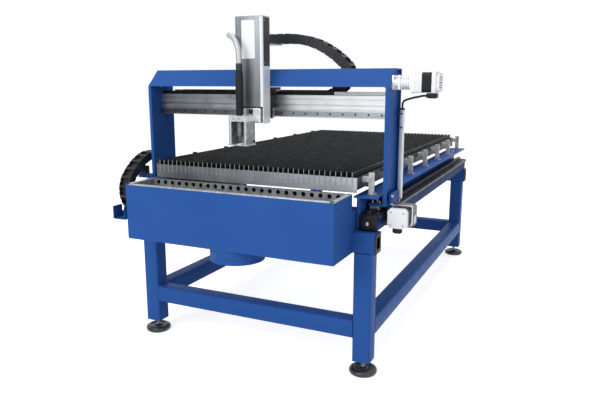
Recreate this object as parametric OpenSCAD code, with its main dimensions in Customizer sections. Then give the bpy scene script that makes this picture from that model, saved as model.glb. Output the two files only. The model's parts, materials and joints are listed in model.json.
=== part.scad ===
/* [Frame] */
// Distance between the leg centres across the table
leg_spacing = 1118; // [900:2:1400]
// Front face of the front legs to rear face of the rear legs
frame_length = 2130; // [1700:10:2600]
// Outside width of the square frame tube
tube_w = 80; // [60:2:100]
// Wall of the square frame tube
tube_wall = 4; // [3:0.5:6]
// Height of the lower end of each leg above the floor
leg_base_z = 63; // [55:1:90]
// Height of the underside of the lower stretchers
stretcher_z = 169; // [130:1:300]
// Height of the underside of the leg heads
head_z = 552; // [480:1:620]
// Height of a leg head and of the rear cross beam
head_h = 90; // [70:1:110]
// How far a leg head reaches past the outer face of its leg
head_overhang = 12; // [6:1:20]
// Thickness of the plastic end caps
cap_t = 4; // [3:0.5:6]

/* [Feet] */
// Diameter of a foot pad
pad_d = 124; // [90:2:160]
// Height of a foot pad
pad_h = 31; // [26:1:36]
// Diameter of a foot spindle
spindle_d = 16; // [12:1:20]
// Width of the lock nut across its flats
nut_w = 26; // [20:1:34]
// Height of the lock nut
nut_h = 11; // [8:1:14]

/* [Side rails] */
// Width of a side beam
side_beam_w = 80; // [60:2:100]
// Height of a side beam
side_beam_h = 70; // [60:2:90]
// Distance from the front of the legs to the front of the rails
rail_front = 45; // [30:1:80]
// Distance from the leg's inner face to the side beam's inner face
side_beam_inset = 6; // [0:1:20]
// Thickness of the upright web of a rail cover
cover_web_t = 12; // [8:1:15]
// Width of the top plate of a rail cover
cover_w = 100; // [80:2:120]
// Thickness of the top plate of a rail cover
cover_t = 8; // [6:1:12]
// Free height between the side beam and the cover's top plate
cover_gap = 68; // [60:1:90]
// How far the cover's top plate reaches inward past its web
cover_lip = 15; // [8:1:20]
// Width of a guide rail
guide_w = 20; // [15:1:25]
// Height of a guide rail
guide_h = 15; // [12:1:18]
// Width of a gear rack
rack_w = 12; // [8:1:13]
// Height of a gear rack
rack_h = 14; // [10:1:16]

/* [Extraction] */
// Gap between the extraction trough and the inner face of a leg
trough_gap = 9; // [4:1:40]
// How far the trough stands in front of the legs
trough_front = 204; // [150:2:260]
// Depth of the trough's lower chamber behind the front of the legs
trough_rear = 96; // [60:2:140]
// Outside height of the trough's front wall
trough_h = 255; // [220:1:300]
// Sheet thickness of the trough
trough_sheet = 3; // [2:0.5:5]
// Outside diameter of the duct collar
duct_d = 246; // [150:2:280]
// How far the duct collar stands below the trough
duct_drop = 64; // [40:1:120]
// Number of holes in the baffle
baffle_hole_count = 24; // [10:1:30]
// Diameter of the holes in the baffle
baffle_hole_d = 20; // [14:1:22]
// Distance from the trough's side to the outermost holes in the baffle
baffle_margin = 50; // [30:1:80]

/* [Bed] */
// Number of slats
slat_count = 41; // [21:2:45]
// Gap between the bed and the inner face of a leg
bed_gap = 2; // [1:0.5:30]
// Thickness of a slat
slat_t = 3; // [2:0.5:5]
// Height of a slat
slat_h = 62; // [50:1:80]
// How far the slats stand above the bed plates
slat_rise = 23; // [10:1:30]
// Height of the bed's front and rear plates
bed_plate_h = 63; // [56:1:80]
// Sheet thickness of the bed plates
bed_sheet = 6; // [4:0.5:8]
// Free height between the rail covers and the bed plates
bed_lift = 16; // [10:1:30]
// Number of support brackets on each side of the bed
bracket_count = 7; // [4:1:10]

/* [Gantry] */
// Distance from the front of the legs to the gantry at rest
gantry_front = 122; // [110:1:160]
// Depth of the gantry's side plates
gantry_depth = 178; // [170:1:220]
// Height of a side plate above its foot
gantry_rise = 569; // [500:1:700]
// Width of a side plate's folded rim
gantry_rim = 18; // [14:1:22]
// Sheet thickness of a side plate
gantry_sheet = 6; // [4:0.5:8]
// Height and depth of the bevel at the top of the gantry
gantry_bevel = 78; // [70:1:84]
// Gap between a rail cover and the gantry's side plate
gantry_gap = 4; // [3:0.5:8]
// Thickness of a foot plate
foot_t = 12; // [8:1:15]
// Sheet thickness of the beam hood
hood_sheet = 4; // [3:0.5:5]
// Height of the cross extrusion
extrusion_h = 100; // [90:1:120]
// Depth of the cross extrusion
extrusion_d = 60; // [50:1:80]
// Distance from the gantry's front to the cross extrusion
extrusion_back = 84; // [80:1:96]
// Diameter of the cross screw
cross_screw_d = 20; // [16:1:20]

/* [Drives] */
// Face width of the motors
motor_w = 86; // [70:1:90]
// Length of the side drive motors
motor_len = 95; // [80:1:110]
// Number of teeth on a pinion
pinion_teeth = 22; // [18:1:24]
// Tooth module of the pinions
gear_module = 2; // [1.5:0.25:2]
// Width of the cross gearbox
gearbox_w = 60; // [50:1:62]
// Length of the cross motor
cross_motor_len = 111; // [90:1:130]

/* [Torch carriage] */
// Width of the lift housing
housing_w = 138; // [130:1:150]
// Depth of the lift housing
housing_d = 70; // [66:1:76]
// Height of the lift housing
housing_h = 463; // [420:1:520]
// Sheet thickness of the lift housing
housing_sheet = 4; // [3:0.5:5]
// Height of the lift housing's open lower end
housing_z = 1077; // [1070:1:1090]
// Diameter of the torch body
torch_d = 34; // [28:1:40]
// Length of the torch body above its clamp
torch_len = 190; // [170:1:210]
// Width of the torch guard
guard_w = 90; // [84:1:100]
// Height of the torch guard below the clamp
guard_h = 105; // [95:1:115]
// Diameter of the torch lead
lead_d = 24; // [16:1:26]

/* [Cable chains] */
// Width of the cross chain
cross_chain_w = 68; // [50:1:80]
// Thickness of the cross chain
cross_chain_t = 44; // [36:1:50]
// Bend radius of the cross chain at its middle
cross_chain_r = 62; // [58:1:68]
// Width of the long chain
long_chain_w = 60; // [50:1:64]
// Thickness of the long chain
long_chain_t = 40; // [34:1:40]
// Bend radius of the long chain at its middle
long_chain_r = 107; // [100:0.5:114]
// Length of one chain link
link_pitch = 45; // [36:1:60]

/* [Hidden] */

// Overrun of every cut and running clearances
cut = 1;
slide_clear = 0.5;
turn_clear = 0.3;
round_fn = 48;

// Colours
blue = [0.16, 0.32, 0.62];
black = [0.06, 0.06, 0.07];
grey = [0.66, 0.67, 0.69];
steel = [0.55, 0.56, 0.58];
pale = [0.86, 0.86, 0.88];

// Frame places
leg_in = leg_spacing / 2 - tube_w / 2;
leg_out = leg_spacing / 2 + tube_w / 2;
front_leg_y = [0, tube_w];
rear_leg_y = [frame_length - tube_w, frame_length];
stretcher_top = stretcher_z + tube_w;
head_top = head_z + head_h;
head_out = leg_out + head_overhang;
trough_half = leg_in - trough_gap;
leg_plate_t = 10;
cap_rim = 6;
spindle_reach = 30;
socket_floor = 10;
pad_edge_h = 17;
pad_neck_d = 64;

// Side rail places
side_in = leg_in + side_beam_inset;
side_out = side_in + side_beam_w;
side_top = head_top + side_beam_h;
side_wall = 4;
rail_rear_margin = 20;
rail_y = [rail_front, frame_length - rail_rear_margin];
plug_plate_t = 4;
plug_dome_t = 8;
plug_dome_share = 0.92;
plug_bolt_d = 17;
plug_bolt_t = 5;
web_in = side_in - cover_web_t;
cover_in = web_in - cover_lip;
cover_out = cover_in + cover_w;
cover_under = side_top + cover_gap;
cover_top = cover_under + cover_t;
guide_mid = (side_in + side_out) / 2;
guide_margin = 15;
guide_y = [rail_y[0] + guide_margin, rail_y[1] - guide_margin];

// Pinion and rack places
pinion_r = pinion_teeth * gear_module / 2;
pinion_tip_r = pinion_r + gear_module;
root_share = 1.25;
pinion_root_r = pinion_r - root_share * gear_module;
rack_gap = 0.5;
rack_top = side_top - slide_clear;
rack_z = rack_top - rack_h;
pinion_z = rack_z - rack_gap - pinion_tip_r;
pinion_gap = 1.5;
pinion_shaft_d = 14;
pinion_shaft_reach = 30;
drive_gap = 15;
drive_in = side_out + drive_gap;
drive_plate_t = 10;

// Trough places
trough_drop = 1;
trough_z = head_z - trough_drop;
trough_top = trough_z + trough_h;
trough_lid_z = head_top + head_h;
baffle_y = -30;
baffle_t = 3;
baffle_pitch = 2 * (trough_half - baffle_margin) / (baffle_hole_count - 1);
baffle_rise = 2;
baffle_row_drop = 15;
baffle_depth = 15;
duct_y = -79;
duct_sheet = 2;
duct_flange = 12;

// Bed places
bed_base = cover_top + bed_lift;
bed_plate_top = bed_base + bed_plate_h;
slat_top = bed_plate_top + slat_rise;
slat_base = slat_top - slat_h;
slat_clear = 0.4;
bed_front_y = 33;
bed_rear_gap = 65;
bed_rear_y = frame_length - bed_rear_gap;
slat_end = 1;
slat_y = [bed_front_y - slat_end, bed_rear_y + bed_sheet + slat_end];
bed_side_gap = 15;
bed_out = leg_in - bed_gap;
bed_half = bed_out - bed_sheet;
slat_pitch = 2 * (bed_half - bed_side_gap) / (slat_count - 1);
bed_side_lift = 11;
support_count = 6;
support_h = slat_base - bed_base;
bracket_w = 25;
bracket_t = 8;
bracket_over = 6;
bracket_gap = 30;
bracket_tie_h = 25;
bracket_margin = 62;

// Gantry places
gantry_in = cover_out + gantry_gap;
gantry_out = gantry_in + gantry_rim;
gantry_y = [gantry_front, gantry_front + gantry_depth];
block_h = 20;
block_lift = 4;
block_w = 44;
block_len = 60;
block_margin = 9;
foot_z = side_top + block_lift + block_h;
foot_top = foot_z + foot_t;
foot_reach = 25;
foot_in = guide_mid - foot_reach;
gantry_top = foot_top + gantry_rise;
hood_z = gantry_top - gantry_bevel;
hood_depth = 132;
root_two = sqrt(2);

// Cross axis places
screw_back = 60;
screw_y = gantry_front + screw_back;
screw_drop = 59;
screw_z = gantry_top - screw_drop;
screw_bearing_r = 23;
screw_bearing_len = 20;
screw_hole_d = 26;
extrusion_y = gantry_front + extrusion_back;
extrusion_drop = 37;
extrusion_top = hood_z - extrusion_drop;
extrusion_z = extrusion_top - extrusion_h;
slot_w = 8;
slot_shares = [0.15, 0.8];
slot_depth = 7;
front_guide_rise = 7;
adapter_len = 34;
gearbox_len = 50;
motor_flange_len = 42;
motor_stator_len = 41;
motor_cap_len = 12;
cross_motor_x = gantry_out + adapter_len + gearbox_len;
shaft_into_adapter = 20;

// Side drive places
motor_gap = 5;
motor_x = drive_in + drive_plate_t + motor_gap + motor_w / 2;
worm_offset = 24;
motor_z = pinion_z + worm_offset;
gearbox_inset = 58;
gearbox_front = gantry_front + gearbox_inset;
gearbox_depth = 84;
pinion_y = gearbox_front + gearbox_depth / 2;
gearbox_h = 92;
gearbox_side = 90;
gearbox_drop = 31;
gearbox_base = pinion_z - gearbox_drop;
motor_y = [gearbox_front - motor_len, gearbox_front];
drive_plate_front = 30;
drive_plate_rear = 12;
drive_plate_y = [gearbox_front - drive_plate_front, gearbox_front + gearbox_depth + drive_plate_rear];
drive_plate_drop = 28;
drive_plate_base = pinion_z - drive_plate_drop;
drive_plate_rise = 42;
motor_cover_len = 22;
motor_side_flange = 14;
motor_chamfer = 12;
plug_w = 40;
plug_h = 21;
plug_len = 42;

// Conduit and motor cable places
conduit_w = 20;
conduit_wall = 2;
conduit_rise = 400;
cable_d = 9;
cable_sides = 8;
cable_route = [
    [761, 182, 1204], [745, 182, 1204], [725, 187, 1200], [703, 199, 1196], [682, 217, 1191],
    [662, 238, 1186], [645, 260, 1180], [634, 278, 1170], [630, 288, 1156], [630, 290, 1136],
    [630, 290, 1116]
];

// Long chain places
long_chain_gap = 30;
long_chain_x = [-gantry_out - long_chain_gap - long_chain_w, -gantry_out - long_chain_gap];
long_bend_y = 100;
long_tray_rise = 48;
long_tray_z = head_z + long_tray_rise;
long_bend_z = long_tray_z + long_chain_t / 2 + long_chain_r;
long_bend_high = 45;
long_upper_lift = 54;
long_upper_mid = long_bend_z + long_chain_r + long_upper_lift;
long_chain_top = long_upper_mid - long_chain_t / 2;
long_upper_len = 130;
long_upper_end = long_bend_y + long_upper_len;
long_lower_len = 950;
long_fixed_end = long_bend_y + long_lower_len;
tray_sheet = 4;
tray_gap = 2;
tray_wall_h = 26;
tray_mouth_h = 60;
tray_mouth_len = 62;
tray_reach = 44;
tray_front = long_bend_y - long_chain_r - long_chain_t / 2 - tray_reach;
tray_over = 40;
hanger_w = 50;
hanger_tab = 40;
tab_len = 28;
ledge_gap = 2;
ledge_h = 22;
ledge_drop = 70;
upright_t = 6;
upright_over = 10;
upright_drop = 28;
hanger_shares = [0.25, 0.62, 0.96];
joint_gap = 0.3;
link_gap = 3;
link_skin = 3;
link_sink = 1.2;
run_steps = 20;
run_flat_share = 0.2;
run_power_min = 1.2;

// Torch carriage places
housing_left = 70;
housing_x0 = -housing_left;
housing_x = [housing_x0, housing_x0 + housing_w];
housing_mid = housing_x0 + housing_w / 2;
housing_gap = 4;
housing_back = gantry_front - housing_gap;
housing_front = housing_back - housing_d;
housing_top = housing_z + housing_h;
cover_rise = 75;
label_w = 66;
label_h = 172;
label_drop = 17;
label_t = 1.5;
carriage_plate_t = 12;
rail_stack = 31;
carriage_y = [extrusion_y - rail_stack - carriage_plate_t, extrusion_y - rail_stack];
carriage_drop = 7;
carriage_leg_t = 10;
carriage_leg_gap = 3;
carriage_leg_z = hood_z - carriage_leg_gap - carriage_leg_t;
top_guide_y = extrusion_y + extrusion_d / 2;
carriage_inset = 18;
carriage_x = [housing_x[0] + carriage_inset, housing_x[1] - carriage_inset];
cross_block_len = 42;
cross_block_gap = 14;
spacer_inset = 20;
spacer_h = 100;
nut_r = 19;
nut_len = 60;
nut_arm_w = 44;
arm_t = 6;
arm_inset = 4;
arm_foot = 50;

// Lift places
lift_screw_off = 21;
lift_screw_x = housing_mid + lift_screw_off;
lift_rod_off = 44;
lift_rod_x = housing_mid - lift_rod_off;
lift_screw_depth = 37;
lift_y = housing_front + lift_screw_depth;
lift_screw_d = 12;
lift_rod_d = 12;
lift_motor_w = 56;
lift_motor_h = 80;
lift_motor_gap = 8;
lift_end_t = 10;
lift_motor_z = housing_top - housing_sheet - lift_motor_gap - lift_motor_h;
carrier_inset = 12;
carrier_back_gap = 8;
carrier_plate_t = 12;
carrier_plate_gap = 4;
carrier_lift = 7;
carrier_base = housing_z + carrier_lift;
carrier_h = 61;

// Torch places
torch_off = 21;
torch_x = housing_mid - torch_off;
torch_gap = 3;
torch_reach = 44.5;
torch_y = housing_front - torch_gap - torch_reach;
guard_front = 32.5;
guard_shift = 6;
guard_x = [torch_x + guard_shift - guard_w / 2, torch_x + guard_shift + guard_w / 2];
clamp_lift = 13;
clamp_base = housing_z + clamp_lift;
clamp_h = 25;
clamp_top = clamp_base + clamp_h;
torch_top = clamp_top + torch_len;
ferrule_d = 28;
ferrule_h = 33;
nozzle_d = 28;
nozzle_h = 70;
tip_d = 12;
tip_h = 16;
guard_sheet = 4;
guard_post = 12;
guard_base_over = 5;
guard_hole_d = 52;
lead_sides = 10;
lead_route = [
    [-22, 0.5, 1338], [-22, 0.5, 1357], [-22.4, 0.5, 1375], [-24, 0.6, 1393], [-29, 1, 1411],
    [-38, 4, 1428], [-50, 9, 1442], [-66, 18, 1453], [-84, 32, 1460], [-101, 52, 1463],
    [-114, 78, 1463], [-122, 108, 1462], [-127, 142, 1461], [-130, 174, 1460], [-131, 206, 1460],
    [-130, 240, 1460], [-124, 272, 1460], [-112, 300, 1460], [-94, 321, 1460], [-72, 334, 1460],
    [-52, 338, 1460], [-42, 338, 1460]
];

// Cross chain places
cross_chain_gap = 4;
cross_chain_y = [gantry_y[1] + cross_chain_gap, gantry_y[1] + cross_chain_gap + cross_chain_w];
cross_bend_x = 304;
cross_bend_rise = 56;
cross_bend_z = hood_z + cross_bend_rise;
cross_bend_low = 48;
cross_bend_high = 47;
cross_lower_drop = 135;
cross_tray_z = cross_bend_z - cross_lower_drop - cross_chain_t / 2;
cross_upper_x = -42;
cross_upper_rise = 143;
cross_upper_mid = gantry_top + cross_upper_rise;
cross_fixed_x = -60;
cross_tray_inset = 12;
cross_tray_over = 30;
cross_tray_x = [cross_tray_inset - gantry_in, cross_bend_x + cross_tray_over];
cross_tray_wall = 84;
arm_z = cross_upper_mid - cross_chain_t / 2 - arm_t;

// The whole machine stands with its box centred over the origin
x_max = cross_motor_x + cross_motor_len;
x_min = min(long_chain_x[0] - tray_gap - tray_sheet, -motor_x - motor_w / 2);
centre_x = (x_max + x_min) / 2;
y_max = frame_length - tube_w / 2 + max(tube_w, pad_d) / 2;
centre_y = (y_max - trough_front) / 2;

module placed() {
    translate([-centre_x, -centre_y, 0])
        children();
}

module both_sides() {
    children();
    mirror([1, 0, 0])
        children();
}

module span(x, y, z) {
    translate([x[0], y[0], z[0]])
        cube([x[1] - x[0], y[1] - y[0], z[1] - z[0]]);
}

module tube_x(x, y, z, wall) {
    difference() {
        span(x, y, z);
        span([x[0] - cut, x[1] + cut], [y[0] + wall, y[1] - wall], [z[0] + wall, z[1] - wall]);
    }
}

module tube_y(x, y, z, wall) {
    difference() {
        span(x, y, z);
        span([x[0] + wall, x[1] - wall], [y[0] - cut, y[1] + cut], [z[0] + wall, z[1] - wall]);
    }
}

module tube_z(x, y, z, wall) {
    difference() {
        span(x, y, z);
        span([x[0] + wall, x[1] - wall], [y[0] + wall, y[1] - wall], [z[0] - cut, z[1] + cut]);
    }
}

// A round bar along X, Y or Z from a start point
module bar_x(start, len, d) {
    translate(start)
        rotate([0, 90, 0])
            cylinder(h = len, d = d, $fn = round_fn);
}

module bar_y(start, len, d) {
    translate(start)
        rotate([-90, 0, 0])
            cylinder(h = len, d = d, $fn = round_fn);
}

module bar_z(start, len, d) {
    translate(start)
        cylinder(h = len, d = d, $fn = round_fn);
}

// A round tube swept along a route of points
function along(route, i) =
    let (a = route[max(i - 1, 0)], b = route[min(i + 1, len(route) - 1)])
    (b - a) / norm(b - a);

function ring(centre, axis, d, sides) =
    let (u = cross(axis, abs(axis[2]) > 0.9 ? [0, 1, 0] : [0, 0, 1]), e = u / norm(u), n = cross(axis, e))
    [for (k = [0 : sides - 1]) centre + d / 2 * (cos(360 * k / sides) * e + sin(360 * k / sides) * n)];

module swept(route, d, sides) {
    rings = len(route);
    points = [for (i = [0 : rings - 1]) each ring(route[i], along(route, i), d, sides)];
    walls = [
        for (i = [0 : rings - 2])
            for (k = [0 : sides - 1])
                let (a = i * sides + k, b = i * sides + (k + 1) % sides)
                each [[a, a + sides, b + sides], [a, b + sides, b]]
    ];
    first = [for (k = [1 : sides - 2]) [0, k, k + 1]];
    last = [for (k = [1 : sides - 2]) (rings - 1) * sides * [1, 1, 1] + [0, k + 1, k]];
    polyhedron(points = points, faces = concat(walls, first, last), convexity = 4);
}

// Frame

module leg_pair(y) {
    both_sides()
        difference() {
            union() {
                tube_z([leg_in, leg_out], y, [leg_base_z, head_z], tube_wall);
                span([leg_in, leg_out], y, [leg_base_z, leg_base_z + leg_plate_t]);
            }
            bar_z([leg_spacing / 2, (y[0] + y[1]) / 2, leg_base_z - cut], leg_plate_t + 2 * cut,
                spindle_d + 2 * turn_clear);
        }
}

module legs() {
    color(blue)
        placed() {
            leg_pair(front_leg_y);
            leg_pair(rear_leg_y);
        }
}

module cross_stretchers() {
    color(blue)
        placed()
            for (y = [front_leg_y, rear_leg_y])
                tube_x([-leg_in, leg_in], y, [stretcher_z, stretcher_top], tube_wall);
}

module side_stretchers() {
    color(blue)
        placed()
            both_sides()
                tube_y([leg_in, leg_out], [front_leg_y[1], rear_leg_y[0]], [stretcher_z, stretcher_top],
                    tube_wall);
}

module leg_heads() {
    color(blue)
        placed()
            both_sides()
                tube_x([trough_half, head_out], front_leg_y, [head_z, head_top], tube_wall);
}

module rear_cross_beam() {
    color(blue)
        placed()
            tube_x([-head_out, head_out], rear_leg_y, [head_z, head_top], tube_wall);
}

module beam_end_caps() {
    color(black)
        placed()
            both_sides()
                for (y = [front_leg_y, rear_leg_y]) {
                    span([head_out, head_out + cap_t], y, [head_z, head_top]);
                    span([head_out - cap_rim, head_out], [y[0] + tube_wall, y[1] - tube_wall],
                        [head_z + tube_wall, head_top - tube_wall]);
                }
}

// Side rails

module side_beams() {
    color(blue)
        placed()
            both_sides()
                tube_y([side_in, side_out], rail_y, [head_top, side_top], side_wall);
}

module beam_plug() {
    mid_z = (head_top + side_top) / 2;
    dome_d = side_beam_h * plug_dome_share;
    span([side_in, side_out], [-plug_plate_t, 0], [head_top, side_top]);
    span([side_in + side_wall, side_out - side_wall], [0, cap_rim],
        [head_top + side_wall, side_top - side_wall]);
    bar_y([guide_mid, -plug_plate_t - plug_dome_t, mid_z], plug_dome_t, dome_d);
    bar_y([guide_mid, -plug_plate_t - plug_dome_t - plug_bolt_t, mid_z], plug_bolt_t, plug_bolt_d);
}

module side_beam_plugs() {
    color(black)
        placed()
            both_sides() {
                translate([0, rail_y[0], 0])
                    beam_plug();
                translate([0, rail_y[1], 0])
                    mirror([0, 1, 0])
                        beam_plug();
            }
}

module rail_covers() {
    color(blue)
        placed()
            both_sides() {
                span([web_in, side_in], rail_y, [head_top, cover_under]);
                span([cover_in, cover_out], rail_y, [cover_under, cover_top]);
            }
}

module guide_rails() {
    color(steel)
        placed()
            both_sides()
                span([guide_mid - guide_w / 2, guide_mid + guide_w / 2], guide_y,
                    [side_top, side_top + guide_h]);
}

module gear_racks() {
    color(steel)
        placed()
            both_sides()
                span([side_out, side_out + rack_w], guide_y, [rack_z, rack_top]);
}

// Feet

module foot_spindles() {
    nut_d = nut_w / cos(30);
    color(steel)
        placed()
            both_sides()
                for (y = [front_leg_y, rear_leg_y])
                    translate([leg_spacing / 2, (y[0] + y[1]) / 2, 0]) {
                        bar_z([0, 0, socket_floor + turn_clear],
                            leg_base_z + spindle_reach - socket_floor - turn_clear, spindle_d);
                        translate([0, 0, leg_base_z - nut_h])
                            cylinder(h = nut_h, d = nut_d, $fn = 6);
                    }
}

module foot_pad(x, y) {
    shoulder = [for (a = [0 : 15 : 90])
        [pad_neck_d / 2 + (pad_d - pad_neck_d) / 2 * cos(a), pad_edge_h + (pad_h - pad_edge_h) * sin(a)]];
    socket_d = spindle_d + 2 * turn_clear;
    color(black)
        placed()
            translate([x, (y[0] + y[1]) / 2, 0])
                rotate_extrude($fn = round_fn)
                    polygon(concat(
                        [[0, 0], [pad_d / 2, 0]],
                        shoulder,
                        [[socket_d / 2, pad_h], [socket_d / 2, socket_floor], [0, socket_floor]]
                    ));
}

module foot_pad_front_left() {
    foot_pad(-leg_spacing / 2, front_leg_y);
}

module foot_pad_front_right() {
    foot_pad(leg_spacing / 2, front_leg_y);
}

module foot_pad_rear_left() {
    foot_pad(-leg_spacing / 2, rear_leg_y);
}

module foot_pad_rear_right() {
    foot_pad(leg_spacing / 2, rear_leg_y);
}

// Extraction

module extraction_trough() {
    sheet = trough_sheet;
    inner = trough_half - sheet;
    color(blue)
        placed()
            difference() {
                union() {
                    span([-trough_half, trough_half], [-trough_front, 0], [trough_z, trough_top]);
                    span([-trough_half, trough_half], [-trough_front, trough_rear], [trough_z, trough_lid_z]);
                }
                span([-inner, inner], [sheet - trough_front, baffle_y], [trough_z + sheet, trough_top + cut]);
                span([-inner, inner], [baffle_y - cut, trough_rear - sheet],
                    [trough_z + sheet, trough_lid_z - sheet]);
                span([-inner, inner], [baffle_y - cut, cut], [trough_lid_z, trough_top + cut]);
                bar_z([0, duct_y, trough_z - cut], sheet + 2 * cut, duct_d - 2 * duct_sheet);
            }
}

module trough_baffle() {
    half = trough_half - trough_sheet;
    top = trough_top + baffle_rise;
    back = baffle_y + baffle_depth;
    first_x = -(baffle_hole_count - 1) / 2 * baffle_pitch;
    color(grey)
        placed() {
            difference() {
                span([-half, half], [baffle_y, baffle_y + baffle_t], [trough_lid_z, top]);
                for (i = [0 : baffle_hole_count - 1])
                    bar_y([first_x + i * baffle_pitch, baffle_y - cut, top - baffle_row_drop],
                        baffle_t + 2 * cut, baffle_hole_d);
            }
            span([-half, half], [baffle_y + baffle_t, back], [top - baffle_t, top]);
            span([-half, half], [back - baffle_t, back], [trough_lid_z, top - baffle_t]);
        }
}

module duct_collar() {
    color(blue)
        placed()
            translate([0, duct_y, 0])
                difference() {
                    bar_z([0, 0, trough_z - duct_drop], duct_drop, duct_d);
                    bar_z([0, 0, trough_z - duct_drop - cut], duct_drop + 2 * cut, duct_d - 2 * duct_sheet);
                }
}

// Bed

module slat_slots(y) {
    for (i = [0 : slat_count - 1]) {
        x = (i - (slat_count - 1) / 2) * slat_pitch;
        span([x - slat_t / 2 - slat_clear, x + slat_t / 2 + slat_clear], [y - cut, y + bed_sheet + cut],
            [slat_base, bed_plate_top + cut]);
    }
}

module bed_end_plates() {
    color(grey)
        placed()
            for (y = [bed_front_y, bed_rear_y])
                difference() {
                    span([-bed_out, bed_out], [y, y + bed_sheet], [bed_base, bed_plate_top]);
                    slat_slots(y);
                }
}

module bed_side_plates() {
    color([0.3, 0.3, 0.32])
        placed()
            both_sides()
                span([bed_half, bed_out], [bed_front_y + bed_sheet, bed_rear_y],
                    [bed_base + bed_side_lift, bed_plate_top]);
}

module bed_cross_supports() {
    step = (bed_rear_y - bed_front_y) / support_count;
    color([0.3, 0.3, 0.32])
        placed()
            for (i = [0 : support_count - 1]) {
                y = bed_front_y + (i + 1 / 2) * step;
                span([-bed_half, bed_half], [y - bed_sheet / 2, y + bed_sheet / 2], [bed_base, slat_base]);
            }
}

module bed_slats() {
    color(black)
        placed()
            for (i = [0 : slat_count - 1]) {
                x = (i - (slat_count - 1) / 2) * slat_pitch;
                span([x - slat_t / 2, x + slat_t / 2], slat_y, [slat_base, slat_top]);
            }
}

module bed_brackets() {
    first = bed_front_y + bracket_margin;
    step = (bed_rear_y - bracket_margin - first) / (bracket_count - 1);
    color(grey)
        placed()
            both_sides()
                for (i = [0 : bracket_count - 1]) {
                    y = [first + i * step, first + i * step + bracket_t];
                    span([bed_out + bracket_gap, bed_out + bracket_gap + bracket_w], y,
                        [cover_top, slat_top - bracket_over]);
                    span([bed_out, bed_out + bracket_gap], y, [bed_plate_top - bracket_tie_h, bed_plate_top]);
                }
}

// Long chain on the left

module chain_run_y(x, y, z) {
    count = floor((y[1] - y[0]) / link_pitch);
    step = (y[1] - y[0]) / count;
    span([x[0] + link_skin, x[1] - link_skin], y, [z[0] + link_skin, z[1] - link_skin]);
    for (i = [0 : count - 1])
        span(x, [y[0] + i * step + link_gap / 2, y[0] + (i + 1) * step - link_gap / 2], z);
}

// Part of a turn of chain about the Z axis, between two angles
module chain_bend(r, t, w, from, to) {
    count = ceil(PI * r * (to - from) / 180 / link_pitch);
    turn = (to - from) / count;
    length = 2 * (r - t / 2) * tan(turn / 2) - link_gap;
    rotate([0, 0, from])
        rotate_extrude(angle = to - from, $fn = round_fn)
            translate([r - t / 2 + link_skin, link_skin - w / 2])
                square([t - 2 * link_skin, w - 2 * link_skin]);
    for (i = [0 : count - 1])
        rotate([0, 0, from + (i + 1 / 2) * turn])
            span([r - t / 2, r + t / 2 - link_sink], [-length / 2, length / 2], [-w / 2, w / 2]);
}

// Side view of a run of chain that starts level and meets its bend at a slope
function bend_end(centre, r, angle) = centre + r * [cos(angle), sin(angle)];

function gap_angle(r) = joint_gap / r * 180 / PI;

function run_power(from, to, slope) =
    let (flat = abs(to[0] - from[0]) * (1 - run_flat_share))
    max(run_power_min, tan(slope) * flat / abs(to[1] - from[1]));

function run_share(share) = max(0, share - run_flat_share) / (1 - run_flat_share);

function run_point(from, to, power, share) =
    [from[0] + (to[0] - from[0]) * share, from[1] + (to[1] - from[1]) * pow(run_share(share), power)];

function run_normal(from, to, power, share) =
    let (climb = (to[1] - from[1]) * power * pow(run_share(share), power - 1) / (1 - run_flat_share))
    [-climb, to[0] - from[0]] / norm([climb, to[0] - from[0]]);

module run_core(from, to, power, t) {
    half = t / 2 - link_skin;
    shares = [for (i = [0 : run_steps]) i / run_steps];
    edge = [for (s = shares) half * run_normal(from, to, power, s)];
    mids = [for (s = shares) run_point(from, to, power, s)];
    polygon(concat(mids + edge, [for (i = [run_steps : -1 : 0]) mids[i] - edge[i]]));
}

module run_links(from, to, power, t) {
    count = floor(norm(to - from) / link_pitch);
    for (i = [0 : count - 1]) {
        near = run_point(from, to, power, i / count);
        far = run_point(from, to, power, (i + 1) / count);
        translate((near + far) / 2)
            rotate(atan2(far[1] - near[1], far[0] - near[0]))
                square([norm(far - near) - link_gap, t], center = true);
    }
}

module long_chain_tray() {
    x = [long_chain_x[0] - tray_gap, long_chain_x[1] + tray_gap];
    y = [tray_front, long_fixed_end + tray_over];
    z = long_tray_z - joint_gap;
    hanger_z = z - tray_sheet - tray_sheet;
    color(blue)
        placed() {
            span([x[0] - tray_sheet, x[1] + tray_sheet], y, [z - tray_sheet, z]);
            span([x[0] - tray_sheet, x[0]], y, [z, z + tray_wall_h]);
            span([x[1], x[1] + tray_sheet], y, [z, z + tray_wall_h]);
            for (side_x = [x[0] - tray_sheet, x[1]])
                span([side_x, side_x + tray_sheet], [y[0], y[0] + tray_mouth_len],
                    [z + tray_wall_h, z + tray_mouth_h]);
            for (share = hanger_shares) {
                hy = long_fixed_end * share;
                hanger_y = [hy - hanger_w / 2, hy + hanger_w / 2];
                span([x[0] - tray_sheet, -leg_out], hanger_y, [hanger_z, z - tray_sheet]);
                span([-leg_out, tray_sheet - leg_out], hanger_y, [hanger_z, head_top]);
                span([tray_sheet - leg_out, tray_sheet - leg_out + hanger_tab], hanger_y,
                    [head_top - tray_sheet, head_top]);
            }
        }
}

module long_chain_lower() {
    color(black)
        placed()
            chain_run_y(long_chain_x, [long_bend_y + joint_gap, long_fixed_end],
                [long_tray_z, long_tray_z + long_chain_t]);
}

module long_chain_bend() {
    color(black)
        placed()
            translate([(long_chain_x[0] + long_chain_x[1]) / 2, long_bend_y, long_bend_z])
                rotate([90, 0, 90])
                    chain_bend(long_chain_r, long_chain_t, long_chain_w, 180 - long_bend_high, 270);
}

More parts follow.
